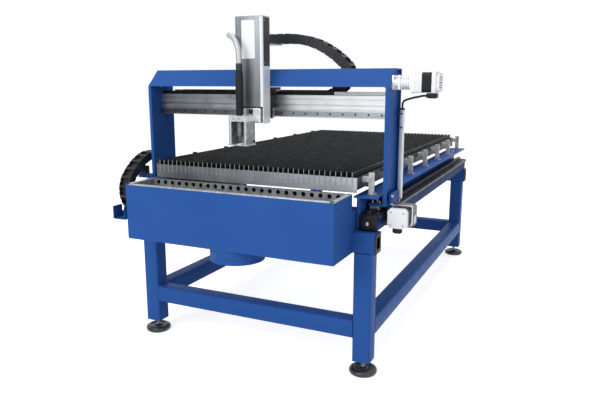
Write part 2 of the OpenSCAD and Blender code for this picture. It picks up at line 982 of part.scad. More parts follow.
module long_chain_upper() {
    angle = long_bend_high + gap_angle(long_chain_r);
    from = [long_upper_end, long_upper_mid];
    to = bend_end([long_bend_y, long_bend_z], long_chain_r, 180 - angle);
    power = run_power(from, to, 90 - angle);
    color(black)
        placed() {
            upright_x([long_chain_x[0] + link_skin, long_chain_x[1] - link_skin])
                run_core(from, to, power, long_chain_t);
            upright_x(long_chain_x)
                run_links(from, to, power, long_chain_t);
        }
}

// Gantry

// Side view of a gantry plate, drawn in from its edge by an inset
module plate_outline(inset) {
    y0 = gantry_y[0] + inset;
    y1 = gantry_y[1] - inset;
    z0 = foot_top + inset;
    z1 = gantry_top - inset;
    slant = inset * (root_two - 1);
    polygon([[y0, z0], [y1, z0], [y1, z1], [y0 + gantry_bevel + slant - inset, z1], [y0, hood_z - slant]]);
}

// Turns a side view drawn in Y and Z into a plate that is thick along X
module upright_x(x) {
    translate([x[0], 0, 0])
        rotate([90, 0, 90])
            linear_extrude(height = x[1] - x[0])
                children();
}

module gantry_plate() {
    difference() {
        upright_x([gantry_in, gantry_out])
            plate_outline(0);
        upright_x([gantry_in + gantry_sheet, gantry_out + cut])
            plate_outline(gantry_sheet);
        bar_x([gantry_in - cut, screw_y, screw_z], gantry_sheet + 2 * cut, screw_hole_d);
    }
}

// The left plate also carries the tab that holds the long chain's moving end, and the ledge below it
module gantry_plates() {
    tab_y = [long_upper_end - tab_len, long_upper_end];
    tab_top = long_chain_top - joint_gap;
    ledge_y = [gantry_y[0], drive_plate_y[0] - ledge_gap];
    ledge_top = long_chain_top - ledge_drop;
    color(blue)
        placed() {
            both_sides()
                gantry_plate();
            span([long_chain_x[0], -gantry_in - gantry_sheet], tab_y, [tab_top - arm_t, tab_top]);
            span([long_chain_x[0], -gantry_in - gantry_sheet], ledge_y, [ledge_top - ledge_h, ledge_top]);
            span([long_chain_x[0], long_chain_x[1] + upright_over], [gantry_y[0], gantry_y[0] + upright_t],
                [ledge_top, long_chain_top - upright_drop]);
        }
}

module gantry_feet() {
    color(blue)
        placed()
            both_sides()
                span([foot_in, gantry_out], gantry_y, [foot_z, foot_top]);
}

module bearing_blocks() {
    color(steel)
        placed()
            both_sides()
                for (y = [gantry_y[0] + block_margin, gantry_y[1] - block_margin - block_len])
                    difference() {
                        span([guide_mid - block_w / 2, guide_mid + block_w / 2], [y, y + block_len],
                            [side_top + block_lift, foot_z]);
                        span([guide_mid - guide_w / 2 - slide_clear, guide_mid + guide_w / 2 + slide_clear],
                            [y - cut, y + block_len + cut],
                            [side_top, side_top + guide_h + slide_clear]);
                    }
}

module beam_hood() {
    slant = hood_sheet * (root_two - 1);
    y0 = gantry_y[0];
    y1 = y0 + hood_depth;
    inner_z = gantry_top - hood_sheet;
    color(blue)
        placed()
            upright_x([-gantry_in, gantry_in])
                polygon([
                    [y0, hood_z], [y0 + gantry_bevel, gantry_top], [y1, gantry_top], [y1, hood_z],
                    [y1 - hood_sheet, hood_z], [y1 - hood_sheet, inner_z],
                    [y0 + gantry_bevel + slant, inner_z], [y0 + hood_sheet * root_two, hood_z]
                ]);
}

module cross_extrusion() {
    y1 = extrusion_y + extrusion_d;
    color(pale)
        placed()
            difference() {
                tube_x([-gantry_in, gantry_in], [extrusion_y, y1], [extrusion_z, extrusion_top],
                    slot_depth + tube_wall);
                for (share = slot_shares)
                    span([-gantry_in - cut, gantry_in + cut], [y1 - slot_depth, y1 + cut],
                        [extrusion_z + extrusion_h * share - slot_w / 2,
                        extrusion_z + extrusion_h * share + slot_w / 2]);
                span([-gantry_in - cut, gantry_in + cut], [extrusion_y - cut, extrusion_y + slot_depth],
                    [extrusion_z + extrusion_h / 2, extrusion_z + extrusion_h / 2 + slot_w]);
            }
}

module cross_guide_rails() {
    x = [-gantry_in, gantry_in];
    z = extrusion_z + front_guide_rise;
    color(steel)
        placed() {
            span(x, [extrusion_y - guide_h, extrusion_y], [z, z + guide_w]);
            span(x, [top_guide_y - guide_w / 2, top_guide_y + guide_w / 2],
                [extrusion_top, extrusion_top + guide_h]);
        }
}

module cross_screw() {
    color(steel)
        placed()
            bar_x([-gantry_in, screw_y, screw_z], 2 * gantry_in + gantry_rim + shaft_into_adapter,
                cross_screw_d);
}

module screw_bearings() {
    hole = cross_screw_d + 2 * turn_clear;
    color(steel)
        placed()
            for (x = [-gantry_in, gantry_in - screw_bearing_len])
                difference() {
                    bar_x([x, screw_y, screw_z], screw_bearing_len, 2 * screw_bearing_r);
                    bar_x([x - cut, screw_y, screw_z], screw_bearing_len + 2 * cut, hole);
                }
}

module square_x(x, w) {
    span(x, [screw_y - w / 2, screw_y + w / 2], [screw_z - w / 2, screw_z + w / 2]);
}

module cross_gearbox() {
    web = gantry_in + gantry_sheet;
    adapter_end = gantry_out + adapter_len;
    hole = cross_screw_d + 2 * turn_clear;
    color(pale)
        placed() {
            difference() {
                union() {
                    square_x([gantry_out, adapter_end], gearbox_w);
                    bar_x([web, screw_y, screw_z], gantry_rim - gantry_sheet, 2 * screw_bearing_r);
                }
                bar_x([web - cut, screw_y, screw_z],
                    gantry_rim + shaft_into_adapter - gantry_sheet + 2 * cut, hole);
            }
            bar_x([adapter_end, screw_y, screw_z], gearbox_len, gearbox_w);
        }
}

module cross_motor() {
    flange_end = cross_motor_x + motor_flange_len;
    stator_end = flange_end + motor_stator_len;
    rear_end = cross_motor_x + cross_motor_len - motor_cap_len;
    color(pale)
        placed() {
            square_x([cross_motor_x, flange_end], motor_w);
            square_x([flange_end, stator_end], motor_w - motor_gap);
            square_x([stator_end, rear_end], motor_w);
            square_x([rear_end, cross_motor_x + cross_motor_len], motor_w - motor_chamfer);
        }
}

// Side drives

module drive_plates() {
    color(blue)
        placed()
            both_sides()
                difference() {
                    span([drive_in, drive_in + drive_plate_t], drive_plate_y,
                        [drive_plate_base, foot_top + drive_plate_rise]);
                    bar_x([drive_in - cut, pinion_y, pinion_z], drive_plate_t + 2 * cut,
                        pinion_shaft_d + 4 * turn_clear);
                }
}

module drive_gearboxes() {
    x = drive_in + drive_plate_t;
    color(grey)
        placed()
            both_sides()
                difference() {
                    span([x, x + gearbox_side], [gearbox_front, gearbox_front + gearbox_depth],
                        [gearbox_base, gearbox_base + gearbox_h]);
                    bar_x([x - cut, pinion_y, pinion_z], pinion_shaft_reach + 2 * cut,
                        pinion_shaft_d + 2 * turn_clear);
                }
}

module drive_motors() {
    half = motor_w / 2;
    cover_end = motor_y[0] + motor_cover_len;
    flange = motor_y[1] - motor_side_flange;
    rim = half - motor_chamfer;
    color(pale)
        placed()
            both_sides()
                translate([motor_x, 0, motor_z]) {
                    translate([0, cover_end, 0])
                        rotate([90, 0, 0])
                            linear_extrude(height = motor_cover_len)
                                polygon([
                                    [-half, -rim], [-rim, -half], [rim, -half], [half, -rim],
                                    [half, rim], [rim, half], [-rim, half], [-half, rim]
                                ]);
                    span([motor_gap - half, half - motor_gap], [cover_end, flange],
                        [motor_gap - half, half - motor_gap]);
                    span([-half, half], [flange, motor_y[1]], [-half, half]);
                }
}

// Outline of a pinion, four points to each tooth
function tooth_point(k) =
    let (step = k % 4, turn = 360 / pinion_teeth, a = floor(k / 4) * turn)
    let (share = [-0.3, -0.14, 0.14, 0.3][step], r = step == 0 || step == 3 ? pinion_root_r : pinion_tip_r)
    [r * cos(a + share * turn), r * sin(a + share * turn)];

module drive_pinion() {
    x0 = side_out + pinion_gap;
    shaft_end = drive_in + drive_plate_t + pinion_shaft_reach;
    translate([x0, pinion_y, pinion_z])
        rotate([0, 90, 0])
            linear_extrude(height = rack_w)
                polygon([for (k = [0 : 4 * pinion_teeth - 1]) tooth_point(k)]);
    bar_x([x0 + rack_w, pinion_y, pinion_z], shaft_end - x0 - rack_w, pinion_shaft_d);
}

module drive_pinion_left() {
    color(steel)
        placed()
            mirror([1, 0, 0])
                drive_pinion();
}

module drive_pinion_right() {
    color(steel)
        placed()
            drive_pinion();
}

module motor_plugs() {
    side_y = motor_y[0] + motor_gap;
    cross_x = cross_motor_x + cross_motor_len - motor_cap_len - plug_len;
    cross_z = screw_z - motor_w / 2;
    side_z = motor_z - motor_w / 2;
    side_x = [motor_x - plug_w / 2, motor_x + plug_w / 2];
    plug_y = [side_y, side_y + motor_cover_len - motor_gap];
    left_z = motor_z + motor_w / 2;
    color(black)
        placed() {
            span(side_x, plug_y, [side_z - plug_h, side_z]);
            span([-side_x[1], -side_x[0]], plug_y, [left_z, left_z + plug_h]);
            span([cross_x, cross_x + plug_len], [screw_y - plug_w / 2, screw_y + plug_w / 2],
                [cross_z - plug_h, cross_z]);
        }
}

module cable_conduit() {
    y = [gantry_y[1] - conduit_w, gantry_y[1]];
    color(grey)
        placed()
            tube_z([gantry_out, gantry_out + conduit_w], y, [foot_top, foot_top + conduit_rise],
                conduit_wall);
}

module motor_cable() {
    color(black)
        placed()
            swept(cable_route, cable_d, cable_sides);
}

// Cross chain

module cross_chain_tray() {
    y = [cross_chain_y[0] - tray_gap, cross_chain_y[1] + tray_gap];
    z = cross_tray_z - joint_gap;
    color(black)
        placed() {
            span(cross_tray_x, [y[0] - tray_gap, y[1] + tray_gap], [z - tray_sheet, z]);
            span(cross_tray_x, [y[0] - tray_gap, y[0]], [z, z + cross_tray_wall]);
            span(cross_tray_x, [y[1], y[1] + tray_gap], [z, z + cross_tray_wall]);
            for (share = [0.1, 0.5, 0.9]) {
                x = cross_tray_x[0] + (cross_tray_x[1] - cross_tray_x[0]) * share;
                span([x - hanger_w / 2, x + hanger_w / 2], [extrusion_y + extrusion_d, y[1]],
                    [z - 2 * tray_sheet, z - tray_sheet]);
            }
        }
}

// Turns a side view drawn in X and Z into a run of the cross chain, drawn in at both faces by an inset
module across_chain(inset) {
    translate([0, cross_chain_y[1] - inset, 0])
        rotate([90, 0, 0])
            linear_extrude(height = cross_chain_w - 2 * inset)
                children();
}

module cross_run(from, to, slope) {
    power = run_power(from, to, slope);
    across_chain(link_skin)
        run_core(from, to, power, cross_chain_t);
    across_chain(0)
        run_links(from, to, power, cross_chain_t);
}

module cross_chain_lower() {
    angle = cross_bend_low + gap_angle(cross_chain_r);
    from = [cross_fixed_x, cross_tray_z + cross_chain_t / 2];
    to = bend_end([cross_bend_x, cross_bend_z], cross_chain_r, -angle);
    color(black)
        placed()
            cross_run(from, to, 90 - angle);
}

module cross_chain_bend() {
    color(black)
        placed()
            translate([cross_bend_x, (cross_chain_y[0] + cross_chain_y[1]) / 2, cross_bend_z])
                rotate([90, 0, 0])
                    chain_bend(cross_chain_r, cross_chain_t, cross_chain_w, -cross_bend_low, cross_bend_high);
}

module cross_chain_upper() {
    angle = cross_bend_high + gap_angle(cross_chain_r);
    from = [cross_upper_x, cross_upper_mid];
    to = bend_end([cross_bend_x, cross_bend_z], cross_chain_r, angle);
    color(black)
        placed()
            cross_run(from, to, 90 - angle);
}

// Torch carriage

module torch_carriage() {
    leg_z = [carriage_leg_z, carriage_leg_z + carriage_leg_t];
    color(steel)
        placed() {
            span(carriage_x, carriage_y, [extrusion_z - carriage_drop, leg_z[1]]);
            span(carriage_x, [carriage_y[1], top_guide_y + block_w / 2], leg_z);
            span([housing_x[0] + spacer_inset, housing_x[1] - spacer_inset], [housing_back, carriage_y[0]],
                [extrusion_z, extrusion_z + spacer_h]);
            difference() {
                union() {
                    bar_x([housing_mid - nut_len / 2, screw_y, screw_z], nut_len, 2 * nut_r);
                    span([housing_mid - nut_arm_w / 2, housing_mid + nut_arm_w / 2],
                        [screw_y - nut_r, screw_y + nut_r], [leg_z[1], screw_z]);
                }
                bar_x([housing_mid - nut_len / 2 - cut, screw_y, screw_z], nut_len + 2 * cut,
                    cross_screw_d + 2 * turn_clear);
            }
        }
}

module carriage_blocks() {
    front_z = extrusion_z + front_guide_rise + guide_w / 2;
    reach = guide_w / 2 + slide_clear;
    color(steel)
        placed()
            for (side = [-1, 1]) {
                mid = housing_mid + side * (cross_block_len + cross_block_gap) / 2;
                x = [mid - cross_block_len / 2, mid + cross_block_len / 2];
                difference() {
                    span(x, [carriage_y[1], extrusion_y - block_lift],
                        [front_z - block_w / 2, front_z + block_w / 2]);
                    span([x[0] - cut, x[1] + cut], [extrusion_y - guide_h - slide_clear, extrusion_y],
                        [front_z - reach, front_z + reach]);
                }
                difference() {
                    span(x, [top_guide_y - block_w / 2, top_guide_y + block_w / 2],
                        [extrusion_top + block_lift, carriage_leg_z]);
                    span([x[0] - cut, x[1] + cut], [top_guide_y - reach, top_guide_y + reach],
                        [extrusion_top, extrusion_top + guide_h + slide_clear]);
                }
            }
}

module lift_housing() {
    sheet = housing_sheet;
    inner_x = [housing_x[0] + sheet, housing_x[1] - sheet];
    label_x = housing_mid - label_w / 2;
    label_top = housing_top - label_drop;
    color(grey)
        placed() {
            difference() {
                span(housing_x, [housing_front, housing_back], [housing_z, housing_top]);
                span(inner_x, [housing_front + sheet, housing_back - sheet],
                    [housing_z - cut, housing_top - sheet]);
                span(inner_x, [housing_front - cut, housing_front + sheet + cut],
                    [housing_z - cut, housing_z + cover_rise]);
            }
            span([label_x, label_x + label_w], [housing_front - label_t, housing_front],
                [label_top - label_h, label_top]);
        }
}

module chain_arm() {
    x = [housing_x[0] + arm_inset, housing_mid + arm_inset];
    color(steel)
        placed() {
            span(x, [housing_back, cross_chain_y[1]], [arm_z, arm_z + arm_t]);
            span(x, [housing_back, housing_back + arm_t], [arm_z - arm_foot, arm_z]);
        }
}

module lift_motor() {
    sheet = housing_sheet;
    y1 = housing_back - sheet;
    color(steel)
        placed() {
            span([lift_screw_x - lift_motor_w / 2, lift_screw_x + lift_motor_w / 2], [y1 - lift_motor_w, y1],
                [lift_motor_z, lift_motor_z + lift_motor_h]);
            difference() {
                span([housing_x[0] + sheet, housing_x[1] - sheet], [lift_y - lift_rod_d, y1],
                    [lift_motor_z - lift_end_t, lift_motor_z]);
                bar_z([lift_screw_x, lift_y, lift_motor_z - lift_end_t - cut], lift_end_t + cut,
                    lift_screw_d + 2 * turn_clear);
            }
            bar_z([lift_rod_x, lift_y, housing_z], lift_motor_z - lift_end_t - housing_z, lift_rod_d);
        }
}

module lift_screw() {
    color(steel)
        placed()
            bar_z([lift_screw_x, lift_y, housing_z], lift_motor_z - turn_clear - housing_z, lift_screw_d);
}

// Torch lift

module lift_carrier() {
    inner_y = [housing_front - torch_gap, housing_back - carrier_back_gap];
    color(pale)
        placed() {
            difference() {
                span([housing_x[0] + carrier_inset, housing_x[1] - carrier_inset], inner_y,
                    [carrier_base, carrier_base + carrier_h]);
                for (x = [lift_screw_x, lift_rod_x])
                    bar_z([x, lift_y, carrier_base - cut], carrier_h + 2 * cut, lift_rod_d + 2 * slide_clear);
            }
            difference() {
                span(guard_x, [torch_y - guard_front, inner_y[0]], [clamp_base, clamp_top]);
                bar_z([torch_x, torch_y, clamp_base - cut], clamp_h + 2 * cut, torch_d + 2 * turn_clear);
            }
        }
}

module torch_guard() {
    x = guard_x;
    y = [torch_y - guard_front, housing_front - torch_gap];
    z = [clamp_base - guard_h, clamp_base];
    over = guard_base_over;
    color(grey)
        placed() {
            span([x[0], x[0] + guard_sheet], y, z);
            span([x[1] - guard_sheet, x[1]], y, z);
            span([x[0] + guard_sheet, x[0] + guard_post], [y[0], y[0] + guard_sheet], z);
            span([x[1] - guard_post, x[1] - guard_sheet], [y[0], y[0] + guard_sheet], z);
            span([x[0] + guard_sheet, x[1] - guard_sheet], [y[1] - guard_sheet, y[1]], z);
            difference() {
                span([x[0] - over, x[1] + over], [y[0] - over, y[1]], [z[0], z[0] + guard_sheet]);
                bar_z([torch_x, torch_y, z[0] - cut], guard_sheet + 2 * cut, guard_hole_d);
            }
        }
}

module torch() {
    color(black)
        placed()
            translate([torch_x, torch_y, 0]) {
                bar_z([0, 0, clamp_base], torch_top - clamp_base, torch_d);
                bar_z([0, 0, torch_top], ferrule_h, ferrule_d);
                bar_z([0, 0, clamp_base - nozzle_h], nozzle_h, nozzle_d);
                bar_z([0, 0, clamp_base - nozzle_h - tip_h], tip_h, tip_d);
            }
}

module torch_lead() {
    color(grey)
        placed()
            swept(lead_route, lead_d, lead_sides);
}

legs();
cross_stretchers();
side_stretchers();
leg_heads();
rear_cross_beam();
beam_end_caps();
side_beams();
side_beam_plugs();
rail_covers();
guide_rails();
gear_racks();
foot_spindles();
foot_pad_front_left();
foot_pad_front_right();
foot_pad_rear_left();
foot_pad_rear_right();
extraction_trough();
trough_baffle();
duct_collar();
bed_end_plates();
bed_side_plates();
bed_cross_supports();
bed_slats();
bed_brackets();
long_chain_tray();
long_chain_lower();
long_chain_bend();
long_chain_upper();
gantry_plates();
gantry_feet();
bearing_blocks();
beam_hood();
cross_extrusion();
cross_guide_rails();
cross_screw();
screw_bearings();
cross_gearbox();
cross_motor();
drive_plates();
drive_gearboxes();
drive_motors();
drive_pinion_left();
drive_pinion_right();
motor_plugs();
cable_conduit();
motor_cable();
cross_chain_tray();
cross_chain_lower();
cross_chain_bend();
cross_chain_upper();
torch_carriage();
carriage_blocks();
lift_housing();
chain_arm();
lift_motor();
lift_screw();
lift_carrier();
torch_guard();
torch();
torch_lead();
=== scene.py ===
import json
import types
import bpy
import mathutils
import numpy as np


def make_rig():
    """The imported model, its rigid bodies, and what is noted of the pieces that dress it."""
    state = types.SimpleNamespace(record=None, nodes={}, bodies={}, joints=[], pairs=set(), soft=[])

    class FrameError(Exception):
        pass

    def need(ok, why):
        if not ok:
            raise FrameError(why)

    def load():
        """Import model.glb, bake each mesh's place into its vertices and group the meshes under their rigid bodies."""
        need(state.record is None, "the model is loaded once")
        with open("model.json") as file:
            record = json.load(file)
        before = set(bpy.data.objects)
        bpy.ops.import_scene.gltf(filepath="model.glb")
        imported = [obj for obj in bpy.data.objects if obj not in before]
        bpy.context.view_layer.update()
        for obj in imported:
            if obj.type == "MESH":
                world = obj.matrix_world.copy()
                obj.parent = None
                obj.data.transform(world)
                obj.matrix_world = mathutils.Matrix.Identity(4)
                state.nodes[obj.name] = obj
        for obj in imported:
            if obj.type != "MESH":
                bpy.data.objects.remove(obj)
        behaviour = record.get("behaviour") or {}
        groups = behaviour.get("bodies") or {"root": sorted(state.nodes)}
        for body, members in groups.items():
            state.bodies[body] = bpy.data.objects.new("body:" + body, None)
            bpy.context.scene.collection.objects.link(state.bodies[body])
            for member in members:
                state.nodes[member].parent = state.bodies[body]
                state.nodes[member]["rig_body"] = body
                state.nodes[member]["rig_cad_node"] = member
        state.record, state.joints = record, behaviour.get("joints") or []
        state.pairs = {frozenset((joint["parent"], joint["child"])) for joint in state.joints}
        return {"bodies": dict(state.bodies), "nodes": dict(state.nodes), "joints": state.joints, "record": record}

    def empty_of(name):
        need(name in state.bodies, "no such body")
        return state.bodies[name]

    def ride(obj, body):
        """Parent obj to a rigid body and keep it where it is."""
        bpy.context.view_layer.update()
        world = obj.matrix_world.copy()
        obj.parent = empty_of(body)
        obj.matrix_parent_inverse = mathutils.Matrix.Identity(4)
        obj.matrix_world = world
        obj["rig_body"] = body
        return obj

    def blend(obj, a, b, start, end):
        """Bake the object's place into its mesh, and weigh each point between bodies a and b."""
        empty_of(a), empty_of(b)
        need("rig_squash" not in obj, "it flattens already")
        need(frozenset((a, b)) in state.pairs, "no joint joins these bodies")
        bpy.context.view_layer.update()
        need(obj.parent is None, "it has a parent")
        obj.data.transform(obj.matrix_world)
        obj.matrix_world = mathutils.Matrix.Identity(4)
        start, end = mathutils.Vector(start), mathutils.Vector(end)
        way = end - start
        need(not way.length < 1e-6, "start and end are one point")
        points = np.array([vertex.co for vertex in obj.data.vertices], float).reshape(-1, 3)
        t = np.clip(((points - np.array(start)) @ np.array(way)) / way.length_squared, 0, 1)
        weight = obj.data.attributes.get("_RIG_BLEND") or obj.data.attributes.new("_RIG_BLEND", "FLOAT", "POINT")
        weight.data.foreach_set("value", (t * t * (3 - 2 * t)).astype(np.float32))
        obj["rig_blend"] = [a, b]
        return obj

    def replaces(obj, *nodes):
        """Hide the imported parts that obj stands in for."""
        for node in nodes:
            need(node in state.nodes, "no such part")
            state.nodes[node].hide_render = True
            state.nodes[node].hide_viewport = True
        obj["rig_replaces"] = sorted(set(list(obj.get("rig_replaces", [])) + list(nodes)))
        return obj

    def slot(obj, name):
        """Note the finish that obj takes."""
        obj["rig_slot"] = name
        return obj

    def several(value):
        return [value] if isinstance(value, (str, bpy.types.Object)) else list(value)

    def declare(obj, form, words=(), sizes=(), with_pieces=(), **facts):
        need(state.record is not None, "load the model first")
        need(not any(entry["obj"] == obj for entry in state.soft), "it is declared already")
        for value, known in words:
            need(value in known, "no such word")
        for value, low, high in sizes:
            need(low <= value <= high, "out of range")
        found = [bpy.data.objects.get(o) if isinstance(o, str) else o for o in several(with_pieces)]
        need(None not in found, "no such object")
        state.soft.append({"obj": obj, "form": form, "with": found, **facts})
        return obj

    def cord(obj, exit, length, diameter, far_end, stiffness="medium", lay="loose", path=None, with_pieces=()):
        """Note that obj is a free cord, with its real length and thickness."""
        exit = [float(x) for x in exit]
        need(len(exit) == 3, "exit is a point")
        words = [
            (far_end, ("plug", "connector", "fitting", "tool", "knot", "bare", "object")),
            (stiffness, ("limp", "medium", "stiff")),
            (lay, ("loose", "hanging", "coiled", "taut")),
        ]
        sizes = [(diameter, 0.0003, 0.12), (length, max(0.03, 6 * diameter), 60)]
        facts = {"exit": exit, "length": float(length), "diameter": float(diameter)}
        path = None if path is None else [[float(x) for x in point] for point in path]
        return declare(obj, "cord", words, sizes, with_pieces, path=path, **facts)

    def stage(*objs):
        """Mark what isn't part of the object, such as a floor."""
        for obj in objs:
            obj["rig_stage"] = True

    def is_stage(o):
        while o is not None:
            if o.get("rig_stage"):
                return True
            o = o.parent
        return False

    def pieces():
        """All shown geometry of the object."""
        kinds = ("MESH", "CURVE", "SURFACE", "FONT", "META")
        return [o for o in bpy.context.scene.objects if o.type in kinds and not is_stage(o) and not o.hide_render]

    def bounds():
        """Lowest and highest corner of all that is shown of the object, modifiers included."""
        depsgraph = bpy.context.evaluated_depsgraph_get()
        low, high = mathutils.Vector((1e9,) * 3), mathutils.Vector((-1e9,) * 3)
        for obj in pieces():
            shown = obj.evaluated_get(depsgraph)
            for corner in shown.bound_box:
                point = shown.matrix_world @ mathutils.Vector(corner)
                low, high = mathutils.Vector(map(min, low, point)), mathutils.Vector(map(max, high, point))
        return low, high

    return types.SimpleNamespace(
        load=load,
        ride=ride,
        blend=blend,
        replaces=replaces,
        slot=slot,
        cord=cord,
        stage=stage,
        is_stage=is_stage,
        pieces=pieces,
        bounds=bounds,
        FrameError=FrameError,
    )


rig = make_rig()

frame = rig.load()
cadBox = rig.bounds()

import json
import math

import bmesh
import bpy
from mathutils import Matrix, Vector

scene = bpy.context.scene
scene.view_settings.view_transform = "Standard"

# places are in millimetres: X from the middle of the bed, Y from the front legs, Z from the floor
shift = {"x": 47, "y": 974}


def row(x, y, z):
    return Vector(((x - shift["x"]) / 1000, (y - shift["y"]) / 1000, z / 1000))


# camera

cameraSettings = {"place": (1338.57, -2282.07, 1261.84), "lens": 35.70, "sensor": 36, "turn": 25.076, "tilt": 11.265,
                  "far": 60}


def addCamera():
    s = cameraSettings
    data = bpy.data.cameras.new("camera")
    data.lens = s["lens"]
    data.sensor_width = s["sensor"]
    data.sensor_fit = "HORIZONTAL"
    data.clip_end = s["far"]
    cam = bpy.data.objects.new("camera", data)
    cam.location = row(*s["place"])
    cam.rotation_euler = (math.radians(90 - s["tilt"]), 0, math.radians(s["turn"]))
    scene.collection.objects.link(cam)
    scene.camera = cam


addCamera()
print("camera set")


# material helpers: a socket is linked, anything else is set as the input's value

def setInputs(tree, node, inputs):
    for key, value in inputs.items():
        if isinstance(value, bpy.types.NodeSocket):
            tree.links.new(value, node.inputs[key])
        else:
            node.inputs[key].default_value = value


def addNode(tree, kind, out, inputs, **choices):
    node = tree.nodes.new("ShaderNode" + kind)
    for key, value in choices.items():
        setattr(node, key, value)
    setInputs(tree, node, inputs)
    return node.outputs[out]


def newTree(name):
    mat = bpy.data.materials.new(name)
    mat.use_nodes = True
    return mat, mat.node_tree


def objectPlace(tree):
    return addNode(tree, "TexCoord", "Object", {})


def alongAxis(tree, source, axis):
    return addNode(tree, "SeparateXYZ", axis, {"Vector": source})


def sums(tree, operation, *values):
    return addNode(tree, "Math", "Value", dict(enumerate(values)), operation=operation)


def noise(tree, source, scale, detail=4.0, rough=0.55):
    return addNode(tree, "TexNoise", "Fac", {"Vector": source, "Scale": scale, "Detail": detail, "Roughness": rough})


def stretch(tree, source, scale):
    return addNode(tree, "Mapping", "Vector", {"Vector": source, "Scale": scale})


def spread(tree, source, low, high, fromLow=0.3, fromHigh=0.7):
    return addNode(tree, "MapRange", "Result", {"Value": source, "From Min": fromLow, "From Max": fromHigh,
                                                "To Min": low, "To Max": high})


def mixed(tree, share, first, second):
    return addNode(tree, "Mix", 2, {0: share, 6: first, 7: second}, data_type="RGBA")


def bump(tree, height, strength, distance):
    return addNode(tree, "Bump", "Normal", {"Strength": strength, "Distance": distance, "Height": height})


def tone(r, g, b):
    # from 0-255 as a picture shows it to what the shader reads
    return (*(((c / 255 + 0.055) / 1.055) ** 2.4 if c > 10 else c / 255 / 12.92 for c in (r, g, b)), 1)


# painted finishes: a slow drift of colour, orange peel and faint dust in the gloss

paintSettings = {
    "blue": {"first": tone(40, 80, 148), "second": tone(46, 88, 157), "rough": (0.34, 0.46), "peel": 0.06,
             "sheen": 0.04},
    # a darker copy of the blue, painted shade on the side beams
    "deepBlue": {"first": tone(17, 46, 96), "second": tone(22, 54, 108), "rough": (0.4, 0.52), "peel": 0.06,
                 "sheen": 0.02},
    "white": {"first": tone(224, 226, 229), "second": tone(233, 234, 237), "rough": (0.35, 0.5), "peel": 0.04,
              "sheen": 0.35},
    "charcoal": {"first": tone(36, 39, 42), "second": tone(48, 51, 54), "rough": (0.4, 0.55), "peel": 0.05,
                 "sheen": 0.25},
    "black": {"first": tone(20, 22, 25), "second": tone(30, 32, 36), "rough": (0.42, 0.6), "peel": 0.05, "sheen": 0.2},
}
paintScales = {"drift": (2.2, 3), "dust": (26, 5), "peel": (420, 2), "depth": 0.002}


def paint(kind):
    s, scales = paintSettings[kind], paintScales
    mat, tree = newTree(kind + "Paint")
    place = objectPlace(tree)
    setInputs(tree, tree.nodes["Principled BSDF"], {
        "Base Color": mixed(tree, noise(tree, place, *scales["drift"]), s["first"], s["second"]),
        "Roughness": spread(tree, noise(tree, place, *scales["dust"]), *s["rough"]),
        "Normal": bump(tree, noise(tree, place, *scales["peel"]), s["peel"], scales["depth"]),
        "Specular IOR Level": s["sheen"]})
    return mat


# bare metals: brushing runs along the axis with the small scale, and zinc has spangle instead
# fade is a painted reflection, lighter towards one end: an axis, its two ends in metres and the share of the colour at
# each

# aluminiumLong, housingSheet, bedPlate and railSteel carry a painted reflection in their fade
metalSettings = {
    "galvanised": {"first": tone(142, 144, 148), "second": tone(176, 178, 181), "rough": (0.36, 0.52), "metal": 0.75,
                   "grain": 70, "spangle": True, "bump": 0.05},
    "zinc": {"first": tone(158, 160, 163), "second": tone(192, 193, 195), "rough": (0.36, 0.5), "metal": 0.6,
             "grain": 90, "spangle": True, "bump": 0.04},
    "machined": {"first": tone(150, 152, 156), "second": tone(186, 188, 192), "rough": (0.25, 0.4), "metal": 0.9,
                 "grain": 240, "bump": 0.05},
    "aluminiumLong": {"first": tone(196, 198, 201), "second": tone(222, 223, 225), "rough": (0.26, 0.42),
                      "metal": 0.88, "brush": (0.02, 1, 1), "grain": 260, "bump": 0.06,
                      "fade": ("X", -0.6, 0.2, 0.5, 0.96)},
    "housingSheet": {"first": tone(120, 125, 130), "second": tone(152, 157, 162), "rough": (0.3, 0.46), "metal": 0.7,
                     "brush": (1, 1, 0.02), "grain": 220, "bump": 0.06, "fade": ("Z", 1.2, 1.52, 0.62, 1.25)},
    "brightPanel": {"first": tone(214, 218, 222), "second": tone(230, 233, 236), "rough": (0.3, 0.44), "metal": 0.25,
                    "brush": (1, 1, 0.04), "grain": 200, "bump": 0.03},
    "bedPlate": {"first": tone(156, 162, 168), "second": tone(182, 187, 192), "rough": (0.36, 0.5), "metal": 0.85,
                 "brush": (0.05, 1, 1), "grain": 160, "bump": 0.04, "fade": ("X", -0.55, 0.5, 0.5, 1.3)},
    "railSteel": {"first": tone(112, 116, 122), "second": tone(140, 144, 150), "rough": (0.28, 0.42), "metal": 0.85,
                  "brush": (0.04, 1, 1), "grain": 240, "bump": 0.04, "fade": ("X", -0.6, 0.45, 0.35, 1.5)},
    "aluminiumBright": {"first": tone(206, 208, 210), "second": tone(232, 233, 234), "rough": (0.22, 0.36),
                        "metal": 0.65, "brush": (1, 0.05, 1), "grain": 200, "bump": 0.04},
    "darkSteel": {"first": tone(38, 39, 41), "second": tone(66, 66, 68), "rough": (0.34, 0.5), "metal": 0.8,
                  "brush": (0.04, 1, 1), "grain": 180, "bump": 0.05},
    "castGrey": {"first": tone(96, 98, 102), "second": tone(128, 130, 134), "rough": (0.45, 0.62), "metal": 0.55,
                 "grain": 160, "bump": 0.14},
}
# the folded baffle is painted dark behind its front sheet, from this depth on, as painted shade inside its box
metalSettings["baffleSheet"] = {**metalSettings["galvanised"], "shade": (-1.0015, -1.0011),
                                "inside": (0.004, 0.004, 0.004, 1)}
metalScales = {"dust": (14, 4), "brush": (5, 0.6), "depth": 0.001}


